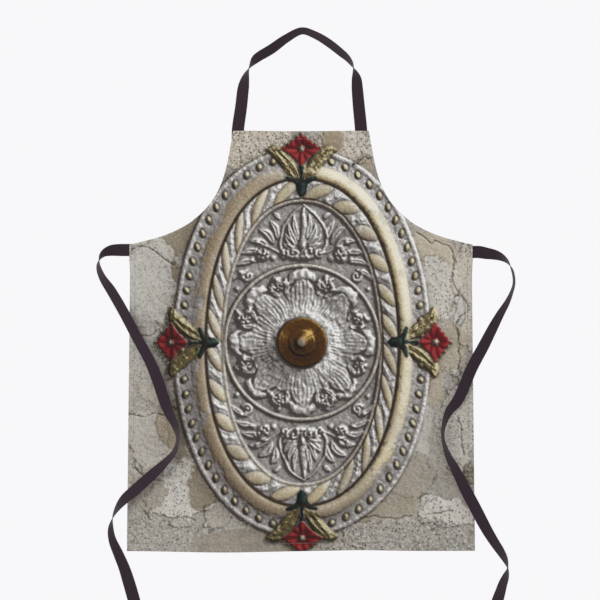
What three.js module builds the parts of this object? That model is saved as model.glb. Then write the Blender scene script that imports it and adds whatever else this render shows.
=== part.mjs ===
// A bib apron hanging by its neck loop: one cloth panel with turned hems, a neck tape and two waist ties.
// Millimetres, +Z up. The origin is the seat of the neck loop, where a hook would carry it.
// +X is to the right of somebody who looks at the front, and +Y is away from them, towards the back.
import * as THREE from "three";

// Driving dimensions: the panel
const bibHalfWidth = 138.5;
const bodyHalfWidth = 350;
const bibTop = -198;
const waistTop = -430;
const hemBottom = -1055;
const clothThickness = 1.0;
const armholeHandles = [[156, -300], [160, -392]];

// Driving dimensions: the turned hems on the back of the panel
const hemThickness = 0.8;
const topHemWidth = 20;
const armholeHemWidth = 9;
const sideHemWidth = 14;
const bottomHemWidth = 20;
const layerGap = 0.3;
const cornerGap = 1.0;

// Driving dimensions: the tape of the neck loop and the ties
const tapeWidth = 25;
const tapeThickness = 1.2;
const neckTailLength = 36;
const tieTailLength = 30;
const neckTailCentre = { left: -129, right: 123 };
const tieSeamHeight = { left: -441, right: -445 };

// Driving dimensions: the sewing thread
const threadThickness = 0.4;
const stitchLineWidth = 0.8;
const stitchInset = 5;
const boxStitchInset = 4;
const tailFromEdge = 0.5;

// Driving dimensions: how far each free tape starts from the line it folds about
const neckHingeHeight = bibTop + 1;
const neckStart = neckHingeHeight + 2;
const tieStart = bodyHalfWidth + 2.5;
const tipFoldLength = 12;

// Layers from front (low Y) to back (high Y), each layer clear of the next
const panelFront = -clothThickness / 2;
const panelBack = clothThickness / 2;
const hemFront = panelBack + layerGap;
const tailFront = hemFront + hemThickness + layerGap;
const tailMiddle = tailFront + tapeThickness / 2;
const boxStitchFront = tailFront + tapeThickness + layerGap;
const stitchBack = panelFront - layerGap;

// Materials
const clothPrinted = new THREE.MeshStandardMaterial({ color: 0xaaa396, roughness: 0.85, metalness: 0 });
const tapeWoven = new THREE.MeshStandardMaterial({ color: 0x3a2e36, roughness: 0.9, metalness: 0 });
const threadPale = new THREE.MeshStandardMaterial({ color: 0xdedad2, roughness: 0.7, metalness: 0 });
const threadDark = new THREE.MeshStandardMaterial({ color: 0x2e242b, roughness: 0.7, metalness: 0 });

const apron = new THREE.Group();

function add(name, geometry, material) {
  const mesh = new THREE.Mesh(geometry, material);
  mesh.name = name;
  apron.add(mesh);
}

// An outline drawn in the panel's own plane (x across, z up) and given a thickness from y = front backwards.
function layer(outline, front, thickness) {
  const geometry = new THREE.ExtrudeGeometry(outline, { depth: thickness, bevelEnabled: false });
  geometry.rotateX(Math.PI / 2);
  geometry.translate(0, front + thickness, 0);
  return geometry;
}

// The curve of one armhole, moved in from the edge; side is -1 on the left and 1 on the right.
function armholePoints(side, inset) {
  const [[nearX, nearZ], [farX, farZ]] = armholeHandles;
  const curve = new THREE.CubicBezierCurve(
    new THREE.Vector2(bibHalfWidth, bibTop),
    new THREE.Vector2(nearX, nearZ),
    new THREE.Vector2(farX, farZ),
    new THREE.Vector2(bodyHalfWidth, waistTop)
  );
  const steps = 24;
  const points = [];
  for (let i = 0; i <= steps; i += 1) {
    const at = curve.getPoint(i / steps);
    const along = curve.getTangent(i / steps);
    points.push(new THREE.Vector2(side * (at.x + along.y * inset), at.y - along.x * inset));
  }
  return points;
}

// A band that follows one armhole between two insets, short of the top hem and of the side hem.
function armholeBand(side, outer, inner) {
  const lowEnough = (point) => point.y < bibTop - topHemWidth - cornerGap;
  const inFromSide = (point) => Math.abs(point.x) < bodyHalfWidth - sideHemWidth - cornerGap;
  const edge = (inset) => armholePoints(side, inset).filter((point) => lowEnough(point) && inFromSide(point));
  return new THREE.Shape([...edge(outer), ...edge(inner).reverse()]);
}

function inOrder(a, b) {
  return [Math.min(a, b), Math.max(a, b)];
}

function rectangle(left, right, bottom, top) {
  return new THREE.Shape([
    new THREE.Vector2(left, bottom),
    new THREE.Vector2(right, bottom),
    new THREE.Vector2(right, top),
    new THREE.Vector2(left, top)
  ]);
}

// A rectangular line of stitching of one width, as a frame with an open middle.
function stitchFrame(left, right, bottom, top) {
  const frame = rectangle(left, right, bottom, top);
  const w = stitchLineWidth;
  const hole = rectangle(left + w, right - w, bottom + w, top - w);
  frame.holes.push(hole);
  return frame;
}

// A smooth run of values through the numbers of a list, at a place between two of them.
function smoothValue(values, place) {
  const last = values.length - 1;
  const i = Math.min(Math.floor(place), last - 1);
  const t = place - i;
  const [a, b, c, d] = [values[Math.max(i - 1, 0)], values[i], values[i + 1], values[Math.min(i + 2, last)]];
  const slope = (c - a) * t;
  const bend = (2 * a - 5 * b + 4 * c - d) * t * t + (3 * b - a - 3 * c + d) * t * t * t;
  return 0.5 * (2 * b + slope + bend);
}

// A tape along a route. Each stop is [x, y, z, turn]: the middle of the tape, and how far in degrees it is
// turned about its own length, from 0 where it faces the front to 90 where only its edge does. A layer sewn
// to the tape covers part of its length, from one share of it to another, and lies a set distance behind it.
function tape(route, steps, cover = {}) {
  const { width = tapeWidth, thickness = tapeThickness, from = 0, to = 1, behind = 0 } = cover;
  const curve = new THREE.CatmullRomCurve3(route.map(([x, y, z]) => new THREE.Vector3(x, y, z)));
  curve.arcLengthDivisions = 1000;
  const turns = route.map(([, , , turn]) => turn);
  const geometry = new THREE.BoxGeometry(width, thickness, 1, 1, 1, steps);
  const vertices = geometry.attributes.position;
  for (let i = 0; i < vertices.count; i += 1) {
    const share = THREE.MathUtils.clamp(from + (to - from) * (vertices.getZ(i) + 0.5), 0, 1);
    const t = curve.getUtoTmapping(share);
    const along = curve.getTangent(t);
    const turn = THREE.MathUtils.degToRad(smoothValue(turns, t * (route.length - 1)));
    const inPlane = new THREE.Vector3(along.z, 0, -along.x).normalize();
    const toFront = new THREE.Vector3().crossVectors(along, inPlane).normalize();
    if (toFront.y > 0) {
      toFront.negate();
    }
    const across = inPlane.clone().multiplyScalar(Math.cos(turn)).addScaledVector(toFront, Math.sin(turn));
    const toBack = toFront.clone().multiplyScalar(-Math.cos(turn)).addScaledVector(inPlane, Math.sin(turn));
    const point = curve.getPoint(t);
    point.addScaledVector(across, vertices.getX(i));
    point.addScaledVector(toBack, vertices.getY(i) + behind);
    vertices.setXYZ(i, point.x, point.y, point.z);
  }
  return facingOut(geometry);
}

// The signed volume tells whether the faces of a bent box point out; if not, each triangle is turned round.
function facingOut(geometry) {
  const index = geometry.index;
  const corner = [new THREE.Vector3(), new THREE.Vector3(), new THREE.Vector3()];
  let volume = 0;
  for (let i = 0; i < index.count; i += 3) {
    corner.forEach((point, k) => point.fromBufferAttribute(geometry.attributes.position, index.getX(i + k)));
    volume += corner[0].dot(corner[1].clone().cross(corner[2]));
  }
  if (volume < 0) {
    for (let i = 0; i < index.count; i += 3) {
      const first = index.getX(i);
      index.setX(i, index.getX(i + 1));
      index.setX(i + 1, first);
    }
  }
  return geometry;
}

// The panel
const leftArmhole = armholePoints(-1, 0);
const rightArmhole = armholePoints(1, 0);
const panelOutline = new THREE.Shape([
  new THREE.Vector2(-bodyHalfWidth, hemBottom),
  new THREE.Vector2(bodyHalfWidth, hemBottom),
  ...rightArmhole.reverse(),
  ...leftArmhole
]);
add("panel", layer(panelOutline, panelFront, clothThickness), clothPrinted);

// The hems: the panel's own edges, turned to the back and pressed flat
const sideHemTop = waistTop - cornerGap;
const sideHemBottom = hemBottom + bottomHemWidth + cornerGap;
const topHem = rectangle(-bibHalfWidth, bibHalfWidth, bibTop - topHemWidth, bibTop);
const bottomHem = rectangle(-bodyHalfWidth, bodyHalfWidth, hemBottom, hemBottom + bottomHemWidth);
add("top_hem", layer(topHem, hemFront, hemThickness), clothPrinted);
add("bottom_hem", layer(bottomHem, hemFront, hemThickness), clothPrinted);
for (const [word, side] of [["left", -1], ["right", 1]]) {
  const sideEdges = inOrder(side * bodyHalfWidth, side * (bodyHalfWidth - sideHemWidth));
  const sideHem = rectangle(...sideEdges, sideHemBottom, sideHemTop);
  const armholeHem = armholeBand(side, 0, armholeHemWidth);
  add(`${word}_side_hem`, layer(sideHem, hemFront, hemThickness), clothPrinted);
  add(`${word}_armhole_hem`, layer(armholeHem, hemFront, hemThickness), clothPrinted);
}

// The stitching that holds the hems, seen on the front
const frontLine = (outline) => layer(outline, stitchBack - threadThickness, threadThickness);
const topLineHeight = bibTop - topHemWidth + stitchInset;
const bottomLineHeight = hemBottom + bottomHemWidth - stitchInset;
const bottomLineHalf = bodyHalfWidth - sideHemWidth - cornerGap;
const topLineHalf = bibHalfWidth - armholeHemWidth - cornerGap;
const topLine = rectangle(-topLineHalf, topLineHalf, topLineHeight, topLineHeight + stitchLineWidth);
const bottomLineTop = bottomLineHeight + stitchLineWidth;
const bottomLine = rectangle(-bottomLineHalf, bottomLineHalf, bottomLineHeight, bottomLineTop);
add("top_hem_stitching", frontLine(topLine), threadPale);
add("bottom_hem_stitching", frontLine(bottomLine), threadPale);
for (const [word, side] of [["left", -1], ["right", 1]]) {
  const lineAt = bodyHalfWidth - sideHemWidth + stitchInset;
  const lineEdges = inOrder(side * lineAt, side * (lineAt + stitchLineWidth));
  const sideLine = rectangle(...lineEdges, hemBottom + cornerGap, sideHemTop);
  const armholeInset = armholeHemWidth - stitchInset / 2;
  const armholeLine = armholeBand(side, armholeInset - stitchLineWidth, armholeInset);
  add(`${word}_side_stitching`, frontLine(sideLine), threadPale);
  add(`${word}_armhole_stitching`, frontLine(armholeLine), threadPale);
}

// The sewn ends of the tapes, behind the panel, each with its box of stitching
const boxStitch = (frame) => layer(frame, boxStitchFront, threadThickness);
for (const [word, side] of [["left", -1], ["right", 1]]) {
  const half = tapeWidth / 2;
  const centre = neckTailCentre[word];
  const neckBottom = bibTop - neckTailLength;
  const inset = boxStitchInset;
  const neckTail = rectangle(centre - half, centre + half, neckBottom, bibTop - tailFromEdge);
  const boxHalf = half - inset;
  const neckBox = stitchFrame(centre - boxHalf, centre + boxHalf, neckBottom + inset, bibTop - inset);
  add(`${word}_neck_tail`, layer(neckTail, tailFront, tapeThickness), tapeWoven);
  add(`${word}_neck_box_stitch`, boxStitch(neckBox), threadDark);

  const height = tieSeamHeight[word];
  const ends = inOrder(side * (bodyHalfWidth - tailFromEdge), side * (bodyHalfWidth - tieTailLength));
  const tieTail = rectangle(...ends, height - half, height + half);
  const tieBox = stitchFrame(ends[0] + inset, ends[1] - inset, height - boxHalf, height + boxHalf);
  add(`${word}_tie_tail`, layer(tieTail, tailFront, tapeThickness), tapeWoven);
  add(`${word}_tie_box_stitch`, boxStitch(tieBox), threadDark);
}

// The neck loop, from the left seam over the hook to the right seam
const neckRoute = [
  [-128.6, tailMiddle, neckStart, 0], [-122, tailMiddle, -147, 10], [-118, 2, -112, 18], [-114, 1, -92, 45],
  [-109, 0, -76, 74], [-103, 0, -65, 97], [-92, 0, -51, 128], [-60, 0, -31, 135], [-29, 0, -9, 125],
  [2, 0, 6, 116], [28, 0, -2, 118], [54, 0, -17, 123], [80, 0, -37, 121], [96, 0, -51, 112],
  [105, 0, -64, 97], [110, 0, -76, 68], [113.5, 1, -92, 35], [115, 2, -112, 20], [118, tailMiddle, -147, 10],
  [122.6, tailMiddle, neckStart, 0]
];
add("neck_strap", tape(neckRoute, 96), tapeWoven);

// The waist ties, each from its seam round to the front of the panel and down past the hem
const leftTieRoute = [
  [-tieStart, tailMiddle, tieSeamHeight.left, 0], [-362, tailMiddle, -441, 2], [-373, 2, -441, 14],
  [-387, 0, -442, 30], [-400, -2, -446.5, 56], [-409, -4, -455, 80], [-413, -7, -467, 106],
  [-411, -9, -481, 121], [-403, -11, -499, 131], [-386, -12, -524, 146],
  [-360, -11, -569, 151], [-335, -10, -617, 151], [-307, -9, -669, 155], [-291, -9, -708, 164],
  [-278, -11, -747, 160], [-267, -13, -776, 143], [-257, -15, -795, 131], [-250.5, -16, -823, 109],
  [-256, -16, -849, 113], [-270, -15, -867, 121], [-285, -14, -882, 134], [-308, -12, -903, 149],
  [-337, -11, -929, 152], [-359, -12, -948, 140], [-374, -13, -967, 116], [-383, -13, -985, 96],
  [-387, -12, -1006, 72], [-384, -10, -1030, 60], [-373, -8, -1057, 46], [-361, -6, -1086, 35],
  [-351, -5, -1117, 20], [-340, -4, -1156, 8], [-329, -4, -1200, 4]
];
const rightTieRoute = [
  [tieStart, tailMiddle, tieSeamHeight.right, 0], [363, tailMiddle, -445, -2], [377, 2, -447.5, -20],
  [396, 0, -451, -40], [411, -2, -457, -62],
  [422, -5, -466, -84], [429, -8, -479, -104], [433, -10, -496, -107], [433, -12, -511, -108],
  [428, -13, -528, -112], [419, -14, -548, -122], [406, -13, -570, -134], [391, -12, -598, -148],
  [372, -9, -636, -160], [349, -8, -679, -165], [319, -9, -747, -160], [302, -12, -768, -138],
  [293, -15, -788, -122], [289, -16, -806, -112], [288.5, -16, -825, -109], [293, -16, -843, -114],
  [300, -15, -862, -124], [311, -14, -882, -136], [324, -12, -908, -148], [338, -9, -935, -160],
  [352, -8, -961, -162], [366, -8, -988, -160], [379, -10, -1012, -152], [393, -11, -1035, -142],
  [407, -12, -1056, -132], [417, -12, -1074, -116], [421, -11, -1089, -94], [417, -10, -1105, -68],
  [411, -8, -1121, -53], [406, -6, -1138, -42], [400, -5, -1157, -28], [387, -4, -1200, -10]
];
add("left_tie", tape(leftTieRoute, 150), tapeWoven);
add("right_tie", tape(rightTieRoute, 150), tapeWoven);

// The end of each tie, turned up behind it and held by a short row of stitching
for (const [word, route] of [["left", leftTieRoute], ["right", rightTieRoute]]) {
  const points = route.map(([x, y, z]) => new THREE.Vector3(x, y, z));
  const tieLength = new THREE.CatmullRomCurve3(points).getLength();
  const fold = {
    width: tapeWidth - 1,
    from: 1 - tipFoldLength / tieLength,
    behind: tapeThickness + layerGap
  };
  const row = {
    width: tapeWidth - 6,
    thickness: threadThickness,
    from: 1 - (tipFoldLength - 2) / tieLength,
    to: 1 - (tipFoldLength - 2 - stitchLineWidth) / tieLength,
    behind: 1.5 * tapeThickness + 2 * layerGap + threadThickness / 2
  };
  add(`${word}_tie_tip`, tape(route, 4, fold), tapeWoven);
  add(`${word}_tip_stitching`, tape(route, 1, row), threadDark);
}

export default apron;
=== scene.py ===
# A bib apron hanging by its neck loop: printed polyester twill, turned hems, cotton tape and sewing thread.
import math
import random

import bpy
import numpy as np
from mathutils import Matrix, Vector


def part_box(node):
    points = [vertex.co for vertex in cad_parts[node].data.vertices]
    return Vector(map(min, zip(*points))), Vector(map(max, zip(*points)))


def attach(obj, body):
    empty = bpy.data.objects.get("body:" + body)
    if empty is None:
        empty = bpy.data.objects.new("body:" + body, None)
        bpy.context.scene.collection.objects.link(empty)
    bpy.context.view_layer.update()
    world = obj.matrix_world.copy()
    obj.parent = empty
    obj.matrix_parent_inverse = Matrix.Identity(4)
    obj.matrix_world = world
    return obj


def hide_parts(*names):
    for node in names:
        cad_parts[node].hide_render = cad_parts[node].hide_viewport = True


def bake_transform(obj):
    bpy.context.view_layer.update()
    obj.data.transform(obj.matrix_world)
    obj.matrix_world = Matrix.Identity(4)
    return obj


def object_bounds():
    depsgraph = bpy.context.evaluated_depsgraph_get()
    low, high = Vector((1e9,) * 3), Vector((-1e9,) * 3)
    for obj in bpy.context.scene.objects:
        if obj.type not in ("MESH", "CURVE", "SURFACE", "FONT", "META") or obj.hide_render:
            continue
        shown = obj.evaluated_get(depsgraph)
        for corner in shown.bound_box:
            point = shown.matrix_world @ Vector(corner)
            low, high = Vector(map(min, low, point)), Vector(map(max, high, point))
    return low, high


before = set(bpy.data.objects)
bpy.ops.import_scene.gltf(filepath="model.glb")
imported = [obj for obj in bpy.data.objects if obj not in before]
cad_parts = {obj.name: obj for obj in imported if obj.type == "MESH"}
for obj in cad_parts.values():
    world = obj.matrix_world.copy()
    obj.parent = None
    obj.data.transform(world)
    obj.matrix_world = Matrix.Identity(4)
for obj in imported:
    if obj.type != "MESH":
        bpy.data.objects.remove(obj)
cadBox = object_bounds()
mm = 0.001

studio = {
    "pictureWidth": 1.224,       # metres of the object's plane across the picture
    "cameraDistance": 3.6,
    "cameraPlace": (-0.002, -0.543),
    "floorDrop": 0.06,           # below the tie ends
    "floorRadius": 0.62,         # a round pale floor that stays below the picture
    "paper": "#f7f6f8",
    "sky": "#fdfcfe",            # what the camera sees behind
    "skyBrightness": 0.955,
    "skyTint": "#fbfcff",        # what lights the cloth
    "skyLight": 0.62,
    "keyEnergy": 60.0,
    "keySize": 2.4,
    "keyPlace": (-1.9, -3.2, 1.3),
}


def linearColour(hexCode):
    # sRGB hex to the linear values that shaders take
    parts = [int(hexCode[i:i + 2], 16) / 255 for i in (1, 3, 5)]
    return (*[p / 12.92 if p <= 0.04045 else ((p + 0.055) / 1.055) ** 2.4 for p in parts], 1.0)


def addNode(tree, kind, *inputs, out=0, **settings):
    # adds one node, sets its settings, then fills its inputs in order with values or links (None is skipped)
    node = tree.nodes.new(kind)
    for name, value in settings.items():
        setattr(node, name, value)
    for socket, value in zip(node.inputs, inputs):
        if isinstance(value, bpy.types.NodeSocket):
            tree.links.new(value, socket)
        elif value is not None:
            socket.default_value = value
    return node.outputs[out] if node.outputs else node


def makePiece(name, vertices, faces, attributes=None):
    # a mesh object with smooth faces; attributes holds point vectors by name
    mesh = bpy.data.meshes.new(name)
    mesh.from_pydata([tuple(v) for v in vertices], [], [tuple(f) for f in faces])
    mesh.update()
    for label, values in (attributes or {}).items():
        layer = mesh.attributes.new(label, "FLOAT_VECTOR", "POINT")
        layer.data.foreach_set("vector", np.asarray(values, np.float32).ravel())
    mesh.shade_smooth()
    piece = bpy.data.objects.new(name, mesh)
    bpy.context.scene.collection.objects.link(piece)
    return piece


def buildStudio():
    scene = bpy.context.scene
    scene.view_settings.view_transform = "Standard"
    x, z = studio["cameraPlace"]
    camera = bpy.data.objects.new("camera", bpy.data.cameras.new("camera"))
    scene.collection.objects.link(camera)
    camera.location = (x, -studio["cameraDistance"], z)
    camera.rotation_euler = (math.pi / 2, 0, 0)
    camera.data.lens = camera.data.sensor_width * studio["cameraDistance"] / studio["pictureWidth"]
    camera.data.clip_end = 100
    scene.camera = camera

    count, radius = 64, studio["floorRadius"]
    height = cadBox[0].z - studio["floorDrop"]
    rim = [(radius * math.cos(math.tau * i / count), radius * math.sin(math.tau * i / count), height)
           for i in range(count)]
    floor = makePiece("floor", rim, [range(count)])
    paper = bpy.data.materials.new("matte paper, rolled")  # even and almost white
    paper.use_nodes = True
    shader = paper.node_tree.nodes["Principled BSDF"]
    shader.inputs["Base Color"].default_value = linearColour(studio["paper"])
    shader.inputs["Roughness"].default_value = 0.9
    floor.data.materials.append(paper)

    world = bpy.data.worlds.new("studio")
    world.use_nodes = True
    scene.world = world
    tree = world.node_tree
    tree.nodes.clear()
    seen = addNode(tree, "ShaderNodeBackground", linearColour(studio["sky"]), studio["skyBrightness"])
    lit = addNode(tree, "ShaderNodeBackground", linearColour(studio["skyTint"]), studio["skyLight"])
    direct = addNode(tree, "ShaderNodeLightPath")
    mixed = addNode(tree, "ShaderNodeMixShader", direct, lit, seen)
    addNode(tree, "ShaderNodeOutputWorld", mixed)

    key = bpy.data.objects.new("key", bpy.data.lights.new("key", "AREA"))
    scene.collection.objects.link(key)
    key.data.energy = studio["keyEnergy"]
    key.data.size = studio["keySize"]
    key.location = studio["keyPlace"]
    middle = (cadBox[0] + cadBox[1]) / 2
    key.rotation_euler = (middle - Vector(studio["keyPlace"])).to_track_quat("-Z", "Y").to_euler()


buildStudio()
print("studio ready")


panel = {
    "thickness": 0.6 * mm,
    "grid": 1.75 * mm,           # fine enough to carry the printed picture
    "backEvery": 4,              # the back has one row for so many of the front's
    "armholeHandles": ((0.156, -0.300), (0.160, -0.392)),
    "armholeStops": 60,
    "sideLength": 0.625,         # from the bottom of the hem up to the waist
    "holdFade": 0.045,           # how far round a sewn tape the cloth is held still
    "simGrid": 14 * mm,
    "simFrames": 40,
    "slack": 0.008,              # extra cloth, as a share of its length, that makes the folds
    "foldForward": -1.6 * mm,    # the furthest a fold comes forward, under the ties
    "foldBack": 9.0 * mm,
}
panelLow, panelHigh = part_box("panel")
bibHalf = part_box("top_hem")[1].x
bodyHalf = panelHigh.x
clothBack = panel["thickness"] / 2
simulation = {
    "quality": 6,
    "mass": 0.3,
    "tension_stiffness": 20,
    "compression_stiffness": 20,
    "shear_stiffness": 10,
    "bending_stiffness": 1.2,
    "air_damping": 4,
}


def armholeCurve(count):
    # the right armhole from the bib's corner to the waist, as a cubic curve
    a, d = np.array((bibHalf, panelHigh.z)), np.array((bodyHalf, panelLow.z + panel["sideLength"]))
    b, c = (np.array(handle) for handle in panel["armholeHandles"])
    t = np.linspace(0, 1, count)[:, None]
    return a * (1 - t) ** 3 + 3 * b * t * (1 - t) ** 2 + 3 * c * t ** 2 * (1 - t) + d * t ** 3


armhole = armholeCurve(panel["armholeStops"])
waistTop = armhole[-1][1]


def evenStops(points, spacing, multiple=1):
    # the same line with stops at an even spacing, their number of gaps rounded to a multiple
    points = np.asarray(points, float)
    run = np.concatenate([[0], np.cumsum(np.linalg.norm(np.diff(points, axis=0), axis=1))])
    gaps = multiple * max(1, round(run[-1] / spacing / multiple))
    at = np.linspace(0, run[-1], gaps + 1)
    return np.column_stack([np.interp(at, run, points[:, k]) for k in range(points.shape[1])])


def clothRows(spacing, multiple=1):
    # the heights of the rows of a grid over the cut, and the half width of the cut at each
    skirt = evenStops([(bodyHalf, panelLow.z), (bodyHalf, waistTop)], spacing, multiple)
    bib = evenStops(armhole[::-1], spacing, multiple)
    return np.concatenate([skirt[:, 1], bib[1:, 1]]), np.concatenate([skirt[:, 0], bib[1:, 0]])


def clothGrid(spacing, multiple=1):
    heights, halves = clothRows(spacing, multiple)
    columns = 2 * multiple * round(bodyHalf / spacing / multiple) + 1
    x = halves[:, None] * np.linspace(-1, 1, columns)
    return x, np.broadcast_to(heights[:, None], x.shape)


def gridFaces(rows, columns, start=0):
    # quads that face the front where x runs along a row and z up the rows
    first = (np.arange(rows - 1)[:, None] * columns + np.arange(columns - 1)).ravel() + start
    return np.column_stack([first, first + 1, first + 1 + columns, first + columns])


def sewnHold(x, z):
    # 1 where a tape is sewn to the cloth and keeps it still, falling to 0 over a few centimetres
    hold = np.zeros_like(x)
    for node in ("left_neck_tail", "right_neck_tail", "left_tie_tail", "right_tie_tail"):
        low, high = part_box(node)
        away = np.hypot(np.maximum(0, np.maximum(low.x - x, x - high.x)),
                        np.maximum(0, np.maximum(low.z - z, z - high.z)))
        near = np.clip(1 - away / panel["holdFade"], 0, 1)
        hold = np.maximum(hold, near * near * (3 - 2 * near))
    return hold


def handFolds(x, z):
    # soft folds that start at the two neck tapes and spread towards the hem
    down = np.clip((panelHigh.z - z) / (panelHigh.z - panelLow.z), 0, 1)
    folds = 3.0 * np.sin(21 * x + 1.4 * np.sin(3 * z) + 0.6) * down ** 1.4
    folds += 1.6 * np.sin(37 * x - 7 * z + 2.1) * down ** 2.2
    folds += 2.2 * np.sin(7 * x + 4.2 * z - 0.8) * down
    return folds * mm


def settle(places, faces):
    # cloth simulation: pinned where the tapes are sewn, a little larger than the pins allow, left to settle
    start = np.column_stack([places[:, 0], handFolds(places[:, 0], places[:, 1]), places[:, 1]])
    cloth = makePiece("settling", start, faces)
    pins = cloth.vertex_groups.new(name="pins")
    for i, hold in enumerate(sewnHold(places[:, 0], places[:, 1])):
        if hold > 0.9:
            pins.add([i], 1.0, "REPLACE")
    modifier = cloth.modifiers.new("cloth", "CLOTH")
    for name, value in simulation.items():
        setattr(modifier.settings, name, value)
    modifier.settings.shrink_min = -panel["slack"]
    modifier.settings.vertex_group_mass = "pins"
    modifier.point_cache.frame_end = panel["simFrames"]
    scene = bpy.context.scene
    for step in range(1, panel["simFrames"] + 1):
        scene.frame_set(step)
    shape = cloth.evaluated_get(bpy.context.evaluated_depsgraph_get())
    depth = np.array([v.co.y for v in shape.data.vertices])
    scene.frame_set(1)
    bpy.data.objects.remove(cloth)
    return depth


simX, simZ = clothGrid(panel["simGrid"])
simDepth = settle(np.column_stack([simX.ravel(), simZ.ravel()]), gridFaces(*simX.shape))
# the folds are scaled to the set depth, whatever the settling gave
simDepth = simDepth - np.percentile(simDepth, 2)
simDepth *= (panel["foldBack"] - panel["foldForward"]) / max(np.percentile(simDepth, 99), 1e-6)
simDepth = np.clip(simDepth + panel["foldForward"], panel["foldForward"], panel["foldBack"])
simDepth = simDepth.reshape(simX.shape)
print("panel settled:", round(float(np.ptp(simDepth)) / mm, 1), "mm deep")


def readGrid(grid, row, column):
    # the value of a grid between its rows and columns
    row = np.clip(row, 0, grid.shape[0] - 1.001)
    column = np.clip(column, 0, grid.shape[1] - 1.001)
    i, j = row.astype(int), column.astype(int)
    a, b = row - i, column - j
    if grid.ndim > 2:
        a, b = a[..., None], b[..., None]
    return ((grid[i, j] * (1 - b) + grid[i, j + 1] * b) * (1 - a)
            + (grid[i + 1, j] * (1 - b) + grid[i + 1, j + 1] * b) * a)


def blurred(field, radius):
    # three passes of a sliding mean, close to a gaussian
    size = max(1, int(round(radius)))
    for _ in range(3):
        for axis in (0, 1):
            padded = np.pad(field, [(size + 1, size) if a == axis else (0, 0) for a in (0, 1)], mode="edge")
            total = np.cumsum(padded, axis=axis, dtype=np.float64)
            ends = [np.take(total, range(at, at + field.shape[axis]), axis=axis) for at in (2 * size + 1, 0)]
            field = ((ends[0] - ends[1]) / (2 * size + 1)).astype(np.float32)
    return field


def mapDepth(spacing):
    # the settled depth on an even net, smoothed so that the folds have no facets
    rows, halves = clothRows(panel["simGrid"])
    x, z = np.meshgrid(np.arange(-bodyHalf, bodyHalf + spacing, spacing),
                       np.arange(panelLow.z, panelHigh.z + spacing, spacing))
    half = np.interp(z, rows, halves)
    row = np.interp(z, rows, np.arange(len(rows)))
    column = (np.clip(x / half, -1, 1) + 1) / 2 * (simDepth.shape[1] - 1)
    depth = blurred(readGrid(simDepth, row, column), 2)
    return depth * (1 - sewnHold(x, z))


depthSpacing = 4 * mm
depthMap = mapDepth(depthSpacing)


def hang(x, z, offset):
    # where a place on the flat cloth hangs, with an offset behind the cloth's middle (negative is in front)
    step = depthSpacing
    depth, depthX, depthZ = (
        readGrid(depthMap, (z + dz - panelLow.z) / step, (x + dx + bodyHalf) / step)
        for dx, dz in ((0, 0), (step, 0), (0, step)))
    slopeX, slopeZ = (depthX - depth) / step, (depthZ - depth) / step
    below = np.clip((waistTop - z) / (waistTop - panelLow.z), 0, 1)
    flare = (7.0 * below - 2.0) * mm * (x / bodyHalf) * (1 - sewnHold(x, z)) * (z < waistTop + 0.05)
    hemDip = -3.4 * bell(x + 0.155, 0.12) + 1.6 * bell(x - 0.12, 0.07)
    hemDip = hemDip * mm * below ** 3
    return np.column_stack([x + flare - slopeX * offset, depth + offset, z + hemDip - slopeZ * offset])


# The printed picture is carved as a height map in millimetres about its own middle, then lit from the upper
# right, so that the ink holds the light and shade of a relief while the cloth itself stays flat.
picture = {
    "middle": (0.002, -0.630),       # where it lies on the cloth, in metres
    "halfWidth": 362,
    "halfHeight": 446,
    "light": (0.62, 0.55, 0.56),     # towards the light: right, up, out
    "shadowReach": 16,               # the longest shadow, in millimetres
    "seed": 7,
}
ovals = {
    "squareness": 2.14,              # 2 is a true ellipse
    "inner": (161, 290),
    "rope": (196, 333),
    "band": (227, 364),
    "edge": (263, 396),
    "ropeTurns": 24,
    "ropeLean": 0.68,
    "beads": 66,
    "beadRadius": 6.8,
}
rosette = {
    "boss": 51,
    "ring": 157,
    "lobes": 8,
    "flutes": 72,
}
pictureX, pictureY = (a.astype(np.float32) for a in np.meshgrid(
    np.arange(-picture["halfWidth"], picture["halfWidth"] + 1),
    np.arange(-picture["halfHeight"], picture["halfHeight"] + 1)))
height = np.zeros_like(pictureX)
inks = {name: np.zeros_like(pictureX) for name in (
    "cream", "tan", "bronze", "leaf", "red", "green", "silver", "warmth", "lightness", "speckle", "dirt")}
paints = ("cream", "tan", "bronze", "leaf", "red", "green", "silver")


def smoothStep(low, high, value):
    t = np.clip((value - low) / (high - low), 0, 1)
    return t * t * (3 - 2 * t)


def bell(value, width):
    return np.exp(-(value / width) ** 2)


def rounded(share):
    # the height of a half round at a share of its half width
    return np.sqrt(np.clip(1 - share * share, 0, 1))


def polar(radius, angle):
    return radius * math.cos(angle), radius * math.sin(angle)


def cloudField(cell, seed, octaves=3):
    # soft noise from -1 to 1, with its largest spots about cell millimetres wide
    rng = np.random.default_rng(picture["seed"] * 1000 + seed)
    total, weight, strength = np.zeros_like(pictureX), 0.0, 1.0
    for octave in range(octaves):
        size = cell / 2 ** octave
        u = (pictureX + picture["halfWidth"]) / size + 0.5
        v = (pictureY + picture["halfHeight"]) / size + 0.5
        knots = rng.uniform(-1, 1, (int(v.max()) + 3, int(u.max()) + 3)).astype(np.float32)
        i, j = v.astype(int), u.astype(int)
        a, b = v - i, u - j
        a, b = a * a * (3 - 2 * a), b * b * (3 - 2 * b)
        total += strength * ((knots[i, j] * (1 - b) + knots[i, j + 1] * b) * (1 - a)
                             + (knots[i + 1, j] * (1 - b) + knots[i + 1, j + 1] * b) * a)
        weight += strength
        strength *= 0.55
    return total / weight


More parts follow.
